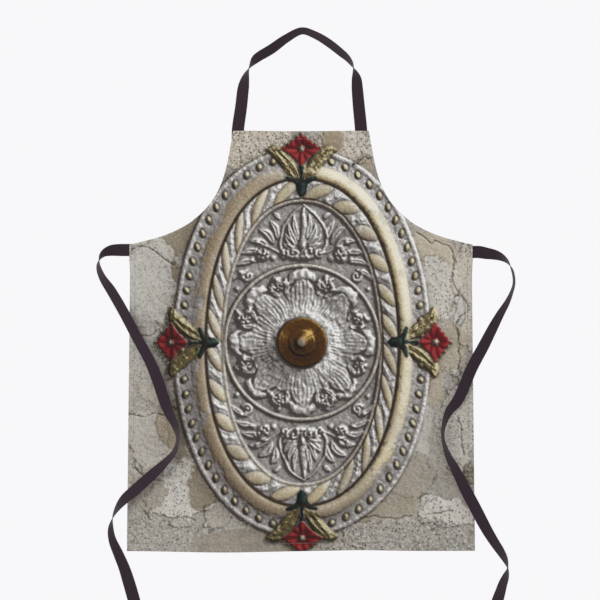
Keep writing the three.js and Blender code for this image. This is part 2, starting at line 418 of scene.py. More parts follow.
def ovalReach(name):
    # distance in millimetres outside one of the ovals, negative inside
    a, b = ovals[name]
    power = ovals["squareness"]
    radius = ((np.abs(pictureX) / a) ** power + (np.abs(pictureY) / b) ** power + 1e-6) ** (1 / power)
    slopeY, slopeX = np.gradient(radius)
    return (radius - 1) / np.maximum(np.hypot(slopeX, slopeY), 1e-4)


def roundTheOval(a, b):
    # how far round an oval each place is, from 0 to 1, counter-clockwise by true length
    power = ovals["squareness"] / 2
    angles = np.linspace(0, math.tau, 1441)
    rimX = a * np.sign(np.cos(angles)) * np.abs(np.cos(angles)) ** (1 / power)
    rimY = b * np.sign(np.sin(angles)) * np.abs(np.sin(angles)) ** (1 / power)
    lengths = np.concatenate([[0], np.cumsum(np.hypot(np.diff(rimX), np.diff(rimY)))])
    angle = np.arctan2(np.sign(pictureY) * np.abs(pictureY / b) ** power,
                       np.sign(pictureX) * np.abs(pictureX / a) ** power)
    return np.interp(np.mod(angle, math.tau), angles, lengths / lengths[-1]).astype(np.float32)


def layOn(mask, lift, ink=None, share=1.0):
    # lays a carved shape on the relief and gives it an ink, which covers what was there
    height[...] = height * (1 - mask) + lift * mask
    if ink:
        for name in paints:
            inks[name] *= 1 - mask * share
        inks[ink] += mask * share


def windowOf(points, margin):
    # the rows and columns round a few points, so that small shapes cost little
    points = np.asarray(points, float)
    low = np.floor(points.min(axis=0) - margin).astype(int) + (picture["halfWidth"], picture["halfHeight"])
    high = np.ceil(points.max(axis=0) + margin).astype(int) + (picture["halfWidth"], picture["halfHeight"])
    return (slice(max(low[1], 0), max(high[1], 1)), slice(max(low[0], 0), max(high[0], 1)))


def lineReach(x, y, points, widths):
    # how far each place is from a line of points, as a share of the line's half width there
    near = np.full(x.shape, 9.0, np.float32)
    for (x0, y0), (x1, y1), w0, w1 in zip(points[:-1], points[1:], widths[:-1], widths[1:]):
        dx, dy = x1 - x0, y1 - y0
        t = np.clip(((x - x0) * dx + (y - y0) * dy) / max(dx * dx + dy * dy, 1e-6), 0, 1)
        gap = np.hypot(x - x0 - t * dx, y - y0 - t * dy)
        near = np.minimum(near, gap / np.maximum(w0 + (w1 - w0) * t, 0.3))
    return near


def stroke(points, widths, lift, ink=None, crease=0.0, base=None):
    # a rounded ridge along a line of points, tapering as widths say; crease cuts a groove down its middle
    points = np.asarray(points, float)
    widths = np.broadcast_to(np.asarray(widths, float), (len(points),))
    box = windowOf(points, widths.max() + 2)
    x, y = pictureX[box], pictureY[box]
    if not x.size:
        return
    near = lineReach(x, y, points, widths)
    mask = smoothStep(1.12, 0.9, near)
    ridge = lift * rounded(near)
    if crease:
        ridge = ridge - crease * lift * smoothStep(0.3, 0, near)
    ground = height[box] if base is None else base
    height[box] = np.maximum(height[box], (ground + ridge) * mask)
    if ink:
        for name in paints:
            inks[name][box] *= 1 - mask
        inks[ink][box] += mask


def dot(x, y, radius, lift, ink=None, base=None):
    stroke([(x, y), (x + 0.1, y)], radius, lift, ink, base=base)


def arcPoints(points, count=16):
    # a smooth line through a few given points
    points = np.asarray(points, float)
    padded = np.vstack([2 * points[0] - points[1], points, 2 * points[-1] - points[-2]])
    line = []
    for i in range(len(points) - 1):
        p0, p1, p2, p3 = padded[i:i + 4]
        for t in np.linspace(0, 1, count)[:-1]:
            line.append(0.5 * (2 * p1 + (p2 - p0) * t + (2 * p0 - 5 * p1 + 4 * p2 - p3) * t * t
                               + (3 * p1 - p0 - 3 * p2 + p3) * t ** 3))
    return np.array(line + [points[-1]])


def scroll(x, y, radius, turns, heading, hand, width, lift, ink=None):
    # a volute that winds in to its eye
    steps = np.linspace(0, 1, 26)
    angle = heading + hand * steps * turns * math.tau
    reach = radius * (1 - 0.82 * steps)
    points = np.column_stack([x + reach * np.cos(angle), y + reach * np.sin(angle)])
    stroke(points, width * (1 - 0.45 * steps), lift, ink)
    stroke([points[-1], points[-1] + 0.1], width * 0.8, lift * 1.2, ink)


def leaf(x0, y0, x1, y1, width, bend, lift, ink=None):
    # a pointed leaf from root to tip with a cut midrib and turned edges
    start, end = np.array((x0, y0), float), np.array((x1, y1), float)
    side = np.array((start[1] - end[1], end[0] - start[0])) / np.linalg.norm(end - start)
    steps = np.linspace(0, 1, 14)[:, None]
    points = start + (end - start) * steps + side * bend * np.sin(math.pi * steps)
    widths = width * np.sin(math.pi * np.clip(steps[:, 0] * 0.92 + 0.06, 0, 1)) ** 0.8 + 0.5
    stroke(points, widths, lift, ink, crease=0.55)


def flower(x, y, radius, petals, lift, turn=0.0):
    for k in range(petals):
        angle = turn + math.tau * k / petals
        root, end = polar(0.35 * radius, angle), polar(0.62 * radius, angle)
        stroke([(x + root[0], y + root[1]), (x + end[0], y + end[1])], (0.2 * radius, 0.34 * radius), lift)
    dot(x, y, 0.24 * radius, lift * 1.25)


def carveRings():
    edge, band, rope, inner = (ovalReach(name) for name in ("edge", "band", "rope", "inner"))
    wobble = cloudField(60, 3) * 1.2
    inside = smoothStep(1.5, -1.5, edge + wobble)
    streaks = cloudField(26, 4, 4)
    layOn(inside, 5.0 + 1.6 * streaks, "silver")
    inks["dirt"] += 0.22 * smoothStep(0.12, 0.5, streaks) * inside
    height[...] += inside * (2.6 * rounded((edge + 5) / 5) + 1.8 * bell(band, 5))
    turn = roundTheOval(245, 379) * ovals["beads"]
    along = (np.mod(turn, 1) - 0.5) * 30.2
    far = np.hypot(along, edge + 18.5) / ovals["beadRadius"]
    wear = np.random.default_rng(11).uniform(0.55, 1.0, ovals["beads"] + 1)[turn.astype(int)]
    bead = smoothStep(1.08, 0.92, far) * inside
    height[...] -= 3.2 * smoothStep(1.5, 1.05, far) * (1 - bead) * inside
    inks["dirt"] += 0.6 * bell(far - 1.12, 0.14) * inside
    layOn(bead, 4.0 + 13.0 * wear * rounded(far), "leaf", 0.9)
    # the smooth band, rounded, then the dark groove beside the rope
    inBand = smoothStep(0.8, -0.8, band) * smoothStep(-0.8, 0.8, rope)
    width = np.maximum(rope - band, 1)
    t = np.clip(rope / width, 0, 1)
    layOn(inBand, 7.5 + (6 + 7 * (pictureX > 0)) * np.clip(np.sin(math.pi * t ** 0.85), 0, 1) ** 0.8, "tan")
    bright = smoothStep(-0.35, 0.6, pictureX / 260 + pictureY / 1100 + 0.5 * cloudField(80, 14, 3))
    inks["cream"] += inks["tan"] * bright * 0.9 * inBand
    inks["tan"] *= 1 - bright * 0.9 * inBand
    # paint is worn to bare silver along the outer side, mostly on the left
    bare = cloudField(34, 15, 4) - 0.16 - 0.2 * (pictureX > 0) + 0.5 * bell(t - 0.86, 0.16)
    layOn(0.9 * smoothStep(0.1, 0.2, bare) * inBand, height - 1.2, "silver")
    # and flakes off along the rope at the right
    flakes = smoothStep(0.22, 0.32, cloudField(9, 17, 3) + 0.3 * bell(t - 0.08, 0.14) - 0.1)
    flakes *= smoothStep(40, 120, pictureX) * inBand * smoothStep(0.5, 0.2, t)
    layOn(0.8 * flakes, height - 1.5, "tan", 0.8)
    inks["dirt"] += 0.45 * flakes
    height[...] -= 9.0 * bell(rope - 0.5, 2.2) * inside
    inks["dirt"] += bell(rope - 0.5, 2.4) * inside
    inks["dirt"] += 0.55 * bell(edge - 1.5, 1.6) * (cloudField(30, 5) > -0.25)
    # the rope: cream strands and carved silver strands that lean with the twist
    inRope = smoothStep(0.5, -1.0, rope) * smoothStep(-0.5, 1.0, inner)
    v = np.clip((inner / np.maximum(inner - rope, 1)) * 2 - 1, -1, 1)
    phase = np.mod(roundTheOval(178, 311) * ovals["ropeTurns"] + ovals["ropeLean"] * 0.5 * v, 1)
    crown = rounded(v)
    width = 0.04 + 0.25 * crown
    lens = np.abs(phase - 0.5) / width
    strand = np.clip((np.abs(phase - 0.5) - width) / (0.5 - width), 0, 1)
    full, hollow = np.clip(1 - lens * lens, 0, 1) ** 0.55, np.clip(1 - (strand - 1) ** 2, 0, 1) ** 0.8
    bulge = np.where(lens < 1, full, hollow)
    carved = np.cos(phase * math.tau * 5) + 6.5 * cloudField(12, 21, 3)
    lift = 5.0 + 9 * crown ** 0.9 + np.where(lens < 1, 7.5 * bulge, 5.5 * bulge + carved * bulge * crown)
    layOn(inRope, lift, "silver")
    cream = inRope * smoothStep(1.0, 0.82, lens)
    chipped = smoothStep(0.30, 0.46, cloudField(15, 22, 3) + 0.0008 * pictureX)
    layOn(cream * (1 - 0.75 * chipped), height, "cream", 0.95)
    dull = cream * (0.2 + 0.4 * smoothStep(-0.3, 0.3, cloudField(70, 23, 2)))
    inks["tan"] += inks["cream"] * dull
    inks["cream"] *= 1 - dull
    inks["dirt"] += 0.55 * inRope * smoothStep(0.4, 0.0, bulge)
    # the small roll inside the rope
    roll = np.clip(1 - (inner / 4.4) ** 2, 0, 1)
    layOn(smoothStep(0, 0.25, roll), 6 + 6 * np.sqrt(roll), "tan", 0.28)
    inks["dirt"] += 0.7 * bell(inner - 4.6, 1.4) + 0.5 * bell(inner + 4.6, 1.2)
    field = smoothStep(-4.5, -6.5, inner)
    layOn(field, 2.0, "silver")


def carveSpandrels():
    # a palmette above and below the ring, with scrolls and flowers beside it
    for way in (1, -1):
        low = 172 if way > 0 else 176
        body = np.hypot((pictureX - 3) / 42, (way * pictureY - 226) / 54)
        layOn(smoothStep(1.02, 0.8, body), 6.0)
        stroke([(2, way * (low + 28)), (3, way * (low + 60)), (4, way * 274)], (9.0, 7.5, 3.0), 9)
        for side in (1, -1):
            arch = arcPoints([(3, 281), (24 * side + 3, 262), (41 * side + 3, 234), (47 * side + 2, 204),
                              (40 * side + 2, 182)])
            stroke([(x, way * y) for x, y in arch], np.linspace(2.2, 3.8, len(arch)), 8)
            for x0, y0, x1, y1, width, bend in (
                    (10, low + 40, 15, 262, 4.2, -2), (12, low + 30, 27, 240, 5.0, -3),
                    (13, low + 24, 36, 222, 5.0, -3), (14, low + 18, 38, 203, 4.6, -2),
                    (52, 214, 64, 246, 6.0, 4), (60, 204, 88, 232, 6.5, 5), (70, 196, 108, 208, 6.0, 5),
                    (88, 184, 124, 182, 5.5, 5), (96, 168, 134, 158, 5.0, 4), (112, 148, 142, 128, 4.6, 4),
                    (46, 252, 58, 262, 3.4, 2)):
                leaf(side * x0, way * y0, side * x1, way * y1, 1.3 * width, side * way * bend, 10)
            scroll(side * 16, way * (low + 12), 12, 1.1, 0 if side > 0 else math.pi, -side * way, 5.4, 11)
            scroll(side * 36, way * (low + 6), 9, 1.0, math.pi / 2 * way, side * way, 4.4, 9)
            stem = arcPoints([(30, 176), (52, 186), (70, 196), (88, 196), (98, 186)])
            stroke([(side * x, way * y) for x, y in stem], 2.6, 5)
            scroll(side * 76, way * 180, 15, 1.25, math.pi / 2 * way, -side * way, 5.4, 11)
            flower(side * 76, way * 180, 12, 5, 13, 0.4)
            scroll(side * 112, way * 136, 11, 1.2, math.pi * (0.2 if side > 0 else 0.8), -side * way, 4.4, 9)
            for x, y, r in ((58, 172, 4), (101, 172, 3.6), (126, 146, 3.4), (134, 108, 3.2), (92, 206, 3.4)):
                dot(side * x, way * y, 1.5 * r, 9)
        stroke([(-9, way * low), (9, way * low)], 5.5, 9)
        stroke([(2, way * (low + 6)), (2, way * (low + 26))], (7, 5), 9)
    for x in (-6.6, 17.6):
        dot(x, -182, 9, 7)


def carveRosette():
    reach = np.hypot(pictureX, pictureY)
    angle = np.arctan2(pictureY, pictureX)
    ring = reach - rosette["ring"]
    inside = smoothStep(1, -1, ring)
    lobe = np.cos(angle * rosette["lobes"])          # 1 down the middle of a leaf, -1 between leaves
    lobeTurn = math.tau / rosette["lobes"]
    layOn(inside, 3.0, "silver")
    dish = 6 + 10 * smoothStep(95, 52, reach) + 5 * smoothStep(90, 125, reach) * (0.5 + 0.5 * lobe)
    # flutes fan out inside each leaf
    spread = angle * rosette["flutes"] + 2.2 * np.sin(angle * rosette["lobes"]) * smoothStep(60, 140, reach)
    spread += 4.2 * cloudField(56, 31, 3)
    flute = 1 - np.abs(np.sin(spread / 2)) ** 0.6
    depth = (2.6 + 3.4 * cloudField(24, 34, 3)) * smoothStep(50, 70, reach) * smoothStep(150, 118, reach)
    limit = 112 + 26 * np.clip(lobe, -0.2, 1)
    leafy = smoothStep(limit + 2, limit - 3, reach)
    dish += 6.0 * np.abs(np.cos(angle * rosette["lobes"] / 2)) ** 0.6 * smoothStep(58, 100, reach)
    layOn(inside * leafy, dish - depth * flute + cloudField(9, 33, 3) * 3.4, "silver")
    # the pale turned tip of each leaf
    sideways = (np.mod(angle + lobeTurn / 2, lobeTurn) - lobeTurn / 2) * 142
    groove = np.cos(sideways / 2.6)
    tip = np.hypot(sideways / 33, (reach - 140 + 0.012 * sideways ** 2) / 10.0)
    tip += 0.12 * groove + 0.35 * cloudField(16, 35, 2)
    layOn(smoothStep(1.08, 0.92, tip), 10 + 9 * rounded(tip) + 1.6 * groove, "silver")
    # curls and small flowers between the leaves
    rng = random.Random(picture["seed"])
    for k in range(rosette["lobes"]):
        middle = (k + 0.5) * lobeTurn
        for part in range(9):
            bend = -0.9 + 1.8 * part / 8
            far = 124 + 17 * math.cos(bend * 1.9) * (1 if part % 2 else 0.6) + rng.uniform(-2.5, 2.5)
            turn = middle + bend * 0.15 + rng.uniform(-0.01, 0.01)
            x, y = polar(far, turn)
            stroke([(x, y), (x + rng.uniform(-5, 5), y + rng.uniform(-5, 5))], rng.uniform(3.8, 6.4), 13)
        flower(*polar(123, middle), 11, 5, 15, middle)
        for side in (-1, 1):
            root, end = polar(104, middle + side * 0.07), polar(134, middle + side * 0.13)
            leaf(*root, *end, 6.0, 3 * side, 11)


def carveBoss():
    # the metal boss with its knob, and the plain moulding round the rosette
    reach = np.hypot(pictureX, pictureY)
    ring = reach - rosette["ring"]
    roll = np.clip(1 - (ring / 4.6) ** 2, 0, 1)
    layOn(smoothStep(0, 0.3, roll), 6 + 6 * np.sqrt(roll), "tan", 0.24)
    inks["dirt"] += 0.75 * bell(ring - 5, 1.3) + 0.6 * bell(ring + 5, 1.3)
    far = reach / rosette["boss"]
    dome = 12 + 22 * rounded(far)
    dome -= 3.0 * bell(reach - 30, 2.0) - 1.5 * bell(reach - 24, 2.0)
    knob = np.hypot(pictureX + 1, pictureY - 1) / 14
    dome = np.maximum(dome, 30 + 9 * rounded(knob) * (knob < 1))
    layOn(smoothStep(1.03, 0.98, far), dome, "bronze")
    layOn(0.7 * smoothStep(0.75, 0.45, knob + 0.25 * cloudField(12, 41)), height, "silver", 0.6)
    inks["dirt"] += 0.8 * bell(reach - 52, 1.8)
    scratch = np.abs(0.62 * pictureX - 0.78 * pictureY + 1.5 * np.sin(pictureX / 6))
    length = smoothStep(8, 11, pictureX) * smoothStep(44, 40, pictureX)
    inks["dirt"] += 0.9 * smoothStep(1.6, 0.6, scratch) * length


def carveFleuron(x, y, heading):
    # a scalloped red bloom between two gilt leaves on a dark green calyx; u points outwards, v across
    cos, sin = math.cos(heading), math.sin(heading)

    def at(u, v):
        return x + u * cos - v * sin, y + u * sin + v * cos

    box = windowOf([at(u, v) for u in (-98, 34) for v in (-74, 74)], 4)
    px, py = pictureX[box] - x, pictureY[box] - y
    u, v = px * cos + py * sin, py * cos - px * sin
    for side in (-1, 1):
        blade = arcPoints([at(-64, 10 * side), at(-46, 19 * side), at(-28, 30 * side), at(-13, 43 * side),
                           at(-5, 55 * side), at(-3, 69 * side)])
        stroke(blade, np.interp(np.linspace(0, 1, len(blade)), (0, 0.25, 0.6, 0.85, 1), (7, 14, 15, 10, 3)),
               9, "leaf", crease=0.25, base=8)
        for k in range(5):
            root, end = at(-58 + 12 * k, (14 + 9 * k) * side), at(-50 + 12 * k, (24 + 8 * k) * side)
            stroke([root, end], (1.6, 1.2), 5, base=14)
        edge = arcPoints([at(-68, 4 * side), at(-48, 9 * side), at(-28, 22 * side), at(-10, 41 * side)])
        stroke(edge, 1.5, 8, "leaf", base=12)
    # the bloom: concave towards the stem, four scallops on each outer side
    side, far = np.abs(v), np.hypot(u, v)
    outer = 31 - side * (33 / 43)
    scallop = 4.8 * (1 - np.abs(np.mod(side / 43 * 4.5 + 0.5, 1) * 2 - 1)) - 2.2
    inner = -2 - 36 * (1 - np.clip(side / 43, 0, 1)) ** 1.5
    bloom = smoothStep(-0.8, 0.8, outer + scallop - u) * smoothStep(-0.8, 0.8, u - inner)
    bloom = bloom * smoothStep(44, 42.5, side)
    petal = np.arctan2(v, u + 3)
    folds = 3.4 * np.abs(np.sin(petal * 4.5)) * smoothStep(4, 20, far)
    lift = 17 + folds - 4.5 * smoothStep(30, 6, far) + 2.5 * bell(side - 1, 3) * (u < 0)
    height[box] = height[box] * (1 - bloom) + lift * bloom
    for name in paints:
        inks[name][box] *= 1 - bloom
    inks["red"][box] += bloom
    for k in range(5):
        out, up = polar(4, heading + math.tau * k / 5)
        dot(x + out, y + up, 2.9, 6, "leaf", base=15)
    stroke([at(0, 0), at(0.1, 0)], 3.0, 9, "silver", base=15)
    # stem, calyx arms and knob
    stroke([at(-40, 0), at(-54, 0), at(-70, 0)], (6.0, 4.2, 5.5), 8, "green", base=11)
    for side in (-1, 1):
        stroke([at(-56, 3.4 * side), at(-42, 5.2 * side)], 0.9, 4, "leaf", base=14)
        arm = arcPoints([at(-76, 3 * side), at(-66, 12 * side), at(-60, 28 * side)])
        stroke(arm, np.linspace(7.5, 4.2, len(arm)), 10, "green", base=10)
    stroke([at(-76, 0), at(-86, 0), at(-94, 0)], (12, 10.5, 5), 13, "green", base=10)


def layPlaster():
    # the weathered wall behind: skins of plaster that have flaked in layers, with speckled stone between
    x, y = pictureX, pictureY
    ragged = cloudField(34, 51, 4)
    fine = 1 - 2.4 * np.abs(cloudField(17, 52, 3))
    inks["warmth"][...] = 0.32 + 0.22 * cloudField(150, 53, 3)
    inks["lightness"][...] = 0.56 + 0.12 * cloudField(110, 54, 4)
    inks["speckle"][...] = 0.55 + 0.3 * cloudField(90, 55, 2)
    brokenEdge = cloudField(40, 61, 2)
    # x, y, half width, half height, lean, warmth, lightness, speckle, lift
    patches = (
        (-95, 395, 90, 62, 0.0, 0.55, 0.90, 1.5, 0.0), (85, 405, 72, 46, -0.1, 0.45, 0.90, 1.1, 0.6),
        (62, 412, 26, 30, 0.1, 0.95, 0.52, 0.1, 1.2), (128, 352, 26, 36, 0.3, 0.75, 0.55, 0.3, 0.8),
        (-218, 232, 62, 74, -0.6, 0.82, 0.44, 0.06, 0.0), (-306, 120, 56, 92, 0.0, 0.15, 0.72, 0.45, 0.8),
        (-318, -20, 40, 84, 0.0, 0.22, 0.60, 0.6, 0.0), (-290, -92, 52, 40, 0.1, 0.35, 0.60, 0.35, 1.0),
        (-318, -196, 44, 66, 0.1, 0.30, 0.62, 0.45, 1.2), (-262, -176, 30, 60, 0.3, 0.86, 0.50, 0.12, 0.6),
        (-244, -306, 74, 60, 0.5, 0.18, 0.82, 1.0, 1.6), (-306, -300, 46, 40, 0.5, 0.50, 0.50, 0.45, 0.4),
        (-186, -300, 54, 50, 0.5, 0.84, 0.41, 0.08, 0.2), (-292, -396, 84, 44, 0.0, 0.30, 0.50, 0.9, 0.6),
        (-94, -404, 122, 34, 0.06, 0.60, 0.45, 0.12, 0.0), (-168, -352, 40, 26, 0.4, 0.40, 0.58, 0.5, 1.4),
        (262, 132, 76, 92, 0.0, 0.66, 0.75, 0.14, 0.0), (274, 108, 50, 64, 0.1, 0.20, 0.90, 0.9, 1.0),
        (338, 100, 30, 124, 0.0, 0.45, 0.80, 0.6, 1.6), (318, 66, 15, 34, 0.0, 0.08, 0.76, 0.5, 0.8),
        (300, -10, 42, 52, 0.0, 0.64, 0.62, 0.3, 0.4), (268, -92, 30, 52, 0.2, 0.70, 0.64, 0.15, 0.6),
        (322, -160, 50, 96, 0.0, 0.24, 0.68, 0.85, 1.4), (226, -196, 38, 92, -0.35, 0.10, 0.72, 0.12, 0.0),
        (224, -276, 56, 44, 0.3, 0.55, 0.50, 0.16, 0.8), (262, -330, 30, 26, 0.0, 0.15, 0.72, 0.7, 1.2),
        (176, -340, 66, 26, 0.35, 0.70, 0.50, 0.12, 0.2), (300, -344, 60, 32, -0.1, 0.15, 0.83, 1.0, 1.6),
        (214, -404, 156, 42, 0.0, 0.30, 0.46, 1.2, 1.8), (344, -268, 15, 22, 0.0, 1.35, 0.22, 0.8, 1.2),
        (-260, 146, 7, 20, 0.1, 1.25, 0.40, 0.1, 0.8),
    )
    for cx, cy, halfWidth, halfHeight, lean, warmth, lightness, speckle, lift in patches:
        u = (x - cx) * math.cos(lean) + (y - cy) * math.sin(lean)
        v = -(x - cx) * math.sin(lean) + (y - cy) * math.cos(lean)
        size = min(halfWidth, halfHeight)
        reach = (np.hypot(u / halfWidth, v / halfHeight) - 1) * size
        reach = reach + (ragged * 22 + fine * 6) * min(1, size / 40)
        mask = smoothStep(1.4, -1.4, reach)
        for name, value in (("warmth", warmth), ("lightness", lightness), ("speckle", speckle)):
            inks[name][...] = inks[name] * (1 - mask) + value * mask
        height[...] += lift * mask * 1.3
        if lift > 0.5:
            inks["dirt"] += 0.72 * bell(reach - 0.6, 1.3) * smoothStep(-0.2, 0.2, brokenEdge)
    inks["warmth"] += 0.12 * cloudField(36, 56, 3)
    inks["lightness"] += 0.07 * cloudField(20, 57, 3)
    height[...] += 1.1 * cloudField(7, 58, 3) * (0.3 + inks["speckle"]) + 1.2 * cloudField(60, 59, 2)


def cutCracks():
    cracks = (
        ((236, 224), (252, 214), (264, 203), (277, 206), (303, 194), (309, 171), (306, 150), (305, 131),
         (316, 108), (332, 88), (337, 70), (322, 48), (316, 31), (319, 0), (320, -40), (312, -66)),
        ((-350, 192), (-326, 196), (-306, 190), (-282, 170), (-262, 158)),
        ((-350, -148), (-322, -150), (-300, -146), (-278, -150), (-262, -148)),
        ((-342, -250), (-326, -268), (-306, -276), (-284, -284)),
        ((118, -360), (150, -356), (186, -358), (222, -354)),
        ((252, -348), (276, -348), (302, -344)),
        ((316, -150), (324, -176), (322, -206), (330, -232)),
        ((-346, 18), (-318, 14), (-296, 22)),
        ((104, 360), (116, 368), (128, 378), (138, 372)),
        ((-286, -350), (-262, -358), (-240, -352), (-214, -362)),
    )
    wander = cloudField(14, 71, 3) * 5
    for crack in cracks:
        line = arcPoints(crack, 8)
        box = windowOf(line, 8)
        x, y = pictureX[box] + wander[box], pictureY[box] - wander[box]
        near = lineReach(x, y, line, np.ones(len(line)))
        strength = 0.6 + 0.4 * smoothStep(-0.2, 0.2, wander[box])
        inks["dirt"][box] += 0.9 * smoothStep(1.8, 0.3, near) * strength
        height[box] -= 2.2 * smoothStep(2.2, 0.4, near)


def handCarve(reach, size):
    # shifts everything that is carved a little, by soft noise, so that no two leaves are alike
    reach = reach * smoothStep(-4, -16, ovalReach("inner"))
    shiftX, shiftY = reach * cloudField(size, 91, 2), reach * cloudField(size, 92, 2)
    row = pictureY + picture["halfHeight"] + shiftY
    column = pictureX + picture["halfWidth"] + shiftX
    for field in (height, *(inks[name] for name in paints), inks["dirt"]):
        field[...] = readGrid(field, row, column)


def lightPicture():
    # shade from -1 to 1, from the slope towards the light, hollows and cast shadows
    rough = height + cloudField(3, 82, 1) * 0.4
    rough = rough + cloudField(7, 81, 3) * (2.0 * inks["silver"] + 3.2 * inks["leaf"])
    slopeY, slopeX = np.gradient(blurred(rough, 1) * 0.6 + rough * 0.4)
    lx, ly, lz = picture["light"]
    facing = (-slopeX * lx - slopeY * ly + lz) / np.sqrt(slopeX ** 2 + slopeY ** 2 + 1)
    hollow = np.clip((blurred(height, 4) - height) / 5, -0.25, 1.2)
    wide = np.clip((blurred(height, 14) - height) / 16, -0.5, 1)
    shadow = np.zeros_like(height)
    flat = math.hypot(lx, ly)
    for reach in range(2, picture["shadowReach"], 2):
        dx, dy = round(reach * lx / flat), round(reach * ly / flat)
        caster = np.roll(height, (-dy, -dx), (0, 1)) - reach * 0.75
        shadow = np.maximum(shadow, smoothStep(0.5, 5, caster - height))
    shade = (facing - lz) * 1.2 - 0.42 * hollow - 0.25 * wide - 0.34 * blurred(shadow, 1)
    reach = np.hypot(pictureX, pictureY)
    shade += 0.04 + 0.3 * bell(reach - 58, 26) * (reach > 51)
    # the boss is darker metal that shines at its upper right and glows at its left
    shine = np.exp(-((pictureX - 15) ** 2 + (pictureY - 17) ** 2) / 110)
    shine += 0.35 * np.exp(-((pictureX + 36) ** 2 + (pictureY - 12) ** 2) / 160)
    shade += inks["bronze"] * (shine - 0.42 + 0.005 * np.clip(pictureY, -50, 20))
    # the boss throws a soft shadow to its lower left, and the rings catch more light at their upper right
    thrown = np.exp(-((pictureX + 58) ** 2 + (pictureY + 34) ** 2) / 2900)
    shade -= 0.42 * thrown * (reach > rosette["boss"]) * (reach < rosette["ring"])
    isRing = smoothStep(2, -2, ovalReach("edge")) * smoothStep(-4, 0, ovalReach("rope"))
    isRope = smoothStep(2, -2, ovalReach("rope")) * smoothStep(-2, 2, ovalReach("inner"))
    shade += isRing * (0.00045 * pictureX + 0.0003 * pictureY - 0.02)
    shade += isRope * (0.0002 * pictureY * (pictureX < 0) - 0.0006 * pictureX - 0.06 + 0.08 * inks["silver"])
    # the wall is in shadow beside the medallion, most at its left
    near = np.exp(-np.clip(ovalReach("edge"), 0, 999) / 26) * outside
    return shade - near * (0.27 - 0.001 * pictureX)


layPlaster()
cutCracks()
wall = height.copy()
outside = smoothStep(-1, 1, ovalReach("edge"))
carveRings()
carveSpandrels()
carveRosette()
handCarve(3.6, 24)
carveBoss()
height[...] = height * (1 - outside) + np.where(outside > 0.5, wall, height) * outside
for fx, fy, turn in ((-268, 0, math.pi), (273, 1, 0.0), (-1, 396, math.pi / 2), (0, -399, -math.pi / 2)):
    carveFleuron(fx, fy, turn)
inks["shade"] = lightPicture()
print("picture carved:", height.shape[1], "by", height.shape[0], "mm")
# the inks go to the material three at a time
inkSheets = {
    "printRelief": ("shade", "dirt", "silver"),
    "printWall": ("warmth", "lightness", "speckle"),
    "printPlaster": ("cream", "tan", "bronze"),
    "printEnamel": ("leaf", "red", "green"),
}


def printed(x, z):
    # what is printed at places on the flat cloth, as point attributes for the ink material
    px, pz = (x - picture["middle"][0]) / mm, (z - picture["middle"][1]) / mm
    attributes = {"printPlace": np.column_stack([px, pz, np.zeros_like(px)])}
    for sheet, names in inkSheets.items():
        fields = np.stack([inks[name] for name in names], axis=-1)
        attributes[sheet] = readGrid(fields, pz + picture["halfHeight"], px + picture["halfWidth"])
    return attributes


def buildPanel():
    # two grids, the back coarser, joined by a rim; the front carries the picture
    every = panel["backEvery"]
    frontX, frontZ = clothGrid(panel["grid"], every)
    backX, backZ = frontX[::every, ::every], frontZ[::every, ::every]
    rows, columns = frontX.shape
    backRows, backColumns = backX.shape
    count = frontX.size
    x, z = np.concatenate([frontX.ravel(), backX.ravel()]), np.concatenate([frontZ.ravel(), backZ.ravel()])
    isBack = np.arange(len(x)) >= count
    places = hang(x, z, np.where(isBack, clothBack, -clothBack))
    faces = gridFaces(rows, columns).tolist()
    backStart = len(faces)
    faces += gridFaces(backRows, backColumns, count)[:, ::-1].tolist()
    rim = [(0, j) for j in range(backColumns - 1)] + [(i, backColumns - 1) for i in range(backRows - 1)]
    rim += [(backRows - 1, j) for j in range(backColumns - 1, 0, -1)]
    rim += [(i, 0) for i in range(backRows - 1, 0, -1)]
    rimStart = len(faces)
    for (i, j), (nextI, nextJ) in zip(rim, rim[1:] + rim[:1]):
        stepI, stepJ = nextI - i, nextJ - j
        front = [(i * every + stepI * k) * columns + j * every + stepJ * k for k in range(every + 1)]
        faces.append(front[::-1] + [count + i * backColumns + j, count + nextI * backColumns + nextJ])
    piece = makePiece("panelCloth", places, faces, printed(x, z))
    mesh = piece.data
    materials = np.zeros(len(faces), np.int32)
    materials[backStart:rimStart] = 1
    mesh.polygons.foreach_set("material_index", materials)
    # a baked picture gives the front most of its square and the plain back a narrow strip
    layer = mesh.uv_layers.new(name="OFBake")
    corner = np.empty(len(mesh.loops), np.int32)
    mesh.loops.foreach_get("vertex_index", corner)
    u, v = (x / bodyHalf + 1) / 2, (z - panelLow.z) / (panelHigh.z - panelLow.z)
    onBack = np.repeat(materials == 1, [len(face) for face in faces])
    across = np.where(onBack, 0.825 + 0.17 * u[corner], 0.005 + 0.80 * u[corner])
    spots = np.column_stack([across, 0.005 + 0.98 * v[corner]]).astype(np.float32)
    layer.data.foreach_set("uv", spots.ravel())
    return piece


panelCloth = buildPanel()


hem = {
    "widths": {"top": 20 * mm, "bottom": 20 * mm, "side": 14 * mm, "armhole": 9 * mm},
    "layers": 0.95 * mm,
    "bulge": 0.3 * mm,
    "spacing": 5 * mm,
    "gap": 1 * mm,               # between one hem's end and the next
    "clearOfTop": 21.5 * mm,     # an armhole's hem stops so far below the top
    "clearOfSide": 15 * mm,
    "stitchInset": 4 * mm,
}


def tubeFaces(rings, sides, start=0):
    # the faces of a closed tube of so many rings, with a cap at each end
    faces = []
    for i in range(rings - 1):
        low, high = start + i * sides, start + (i + 1) * sides
        for k in range(sides):
            n = (k + 1) % sides
            faces.append((low + k, low + n, high + n, high + k))
    last = start + (rings - 1) * sides
    return faces + [tuple(range(start, start + sides))[::-1], tuple(range(last, last + sides))]


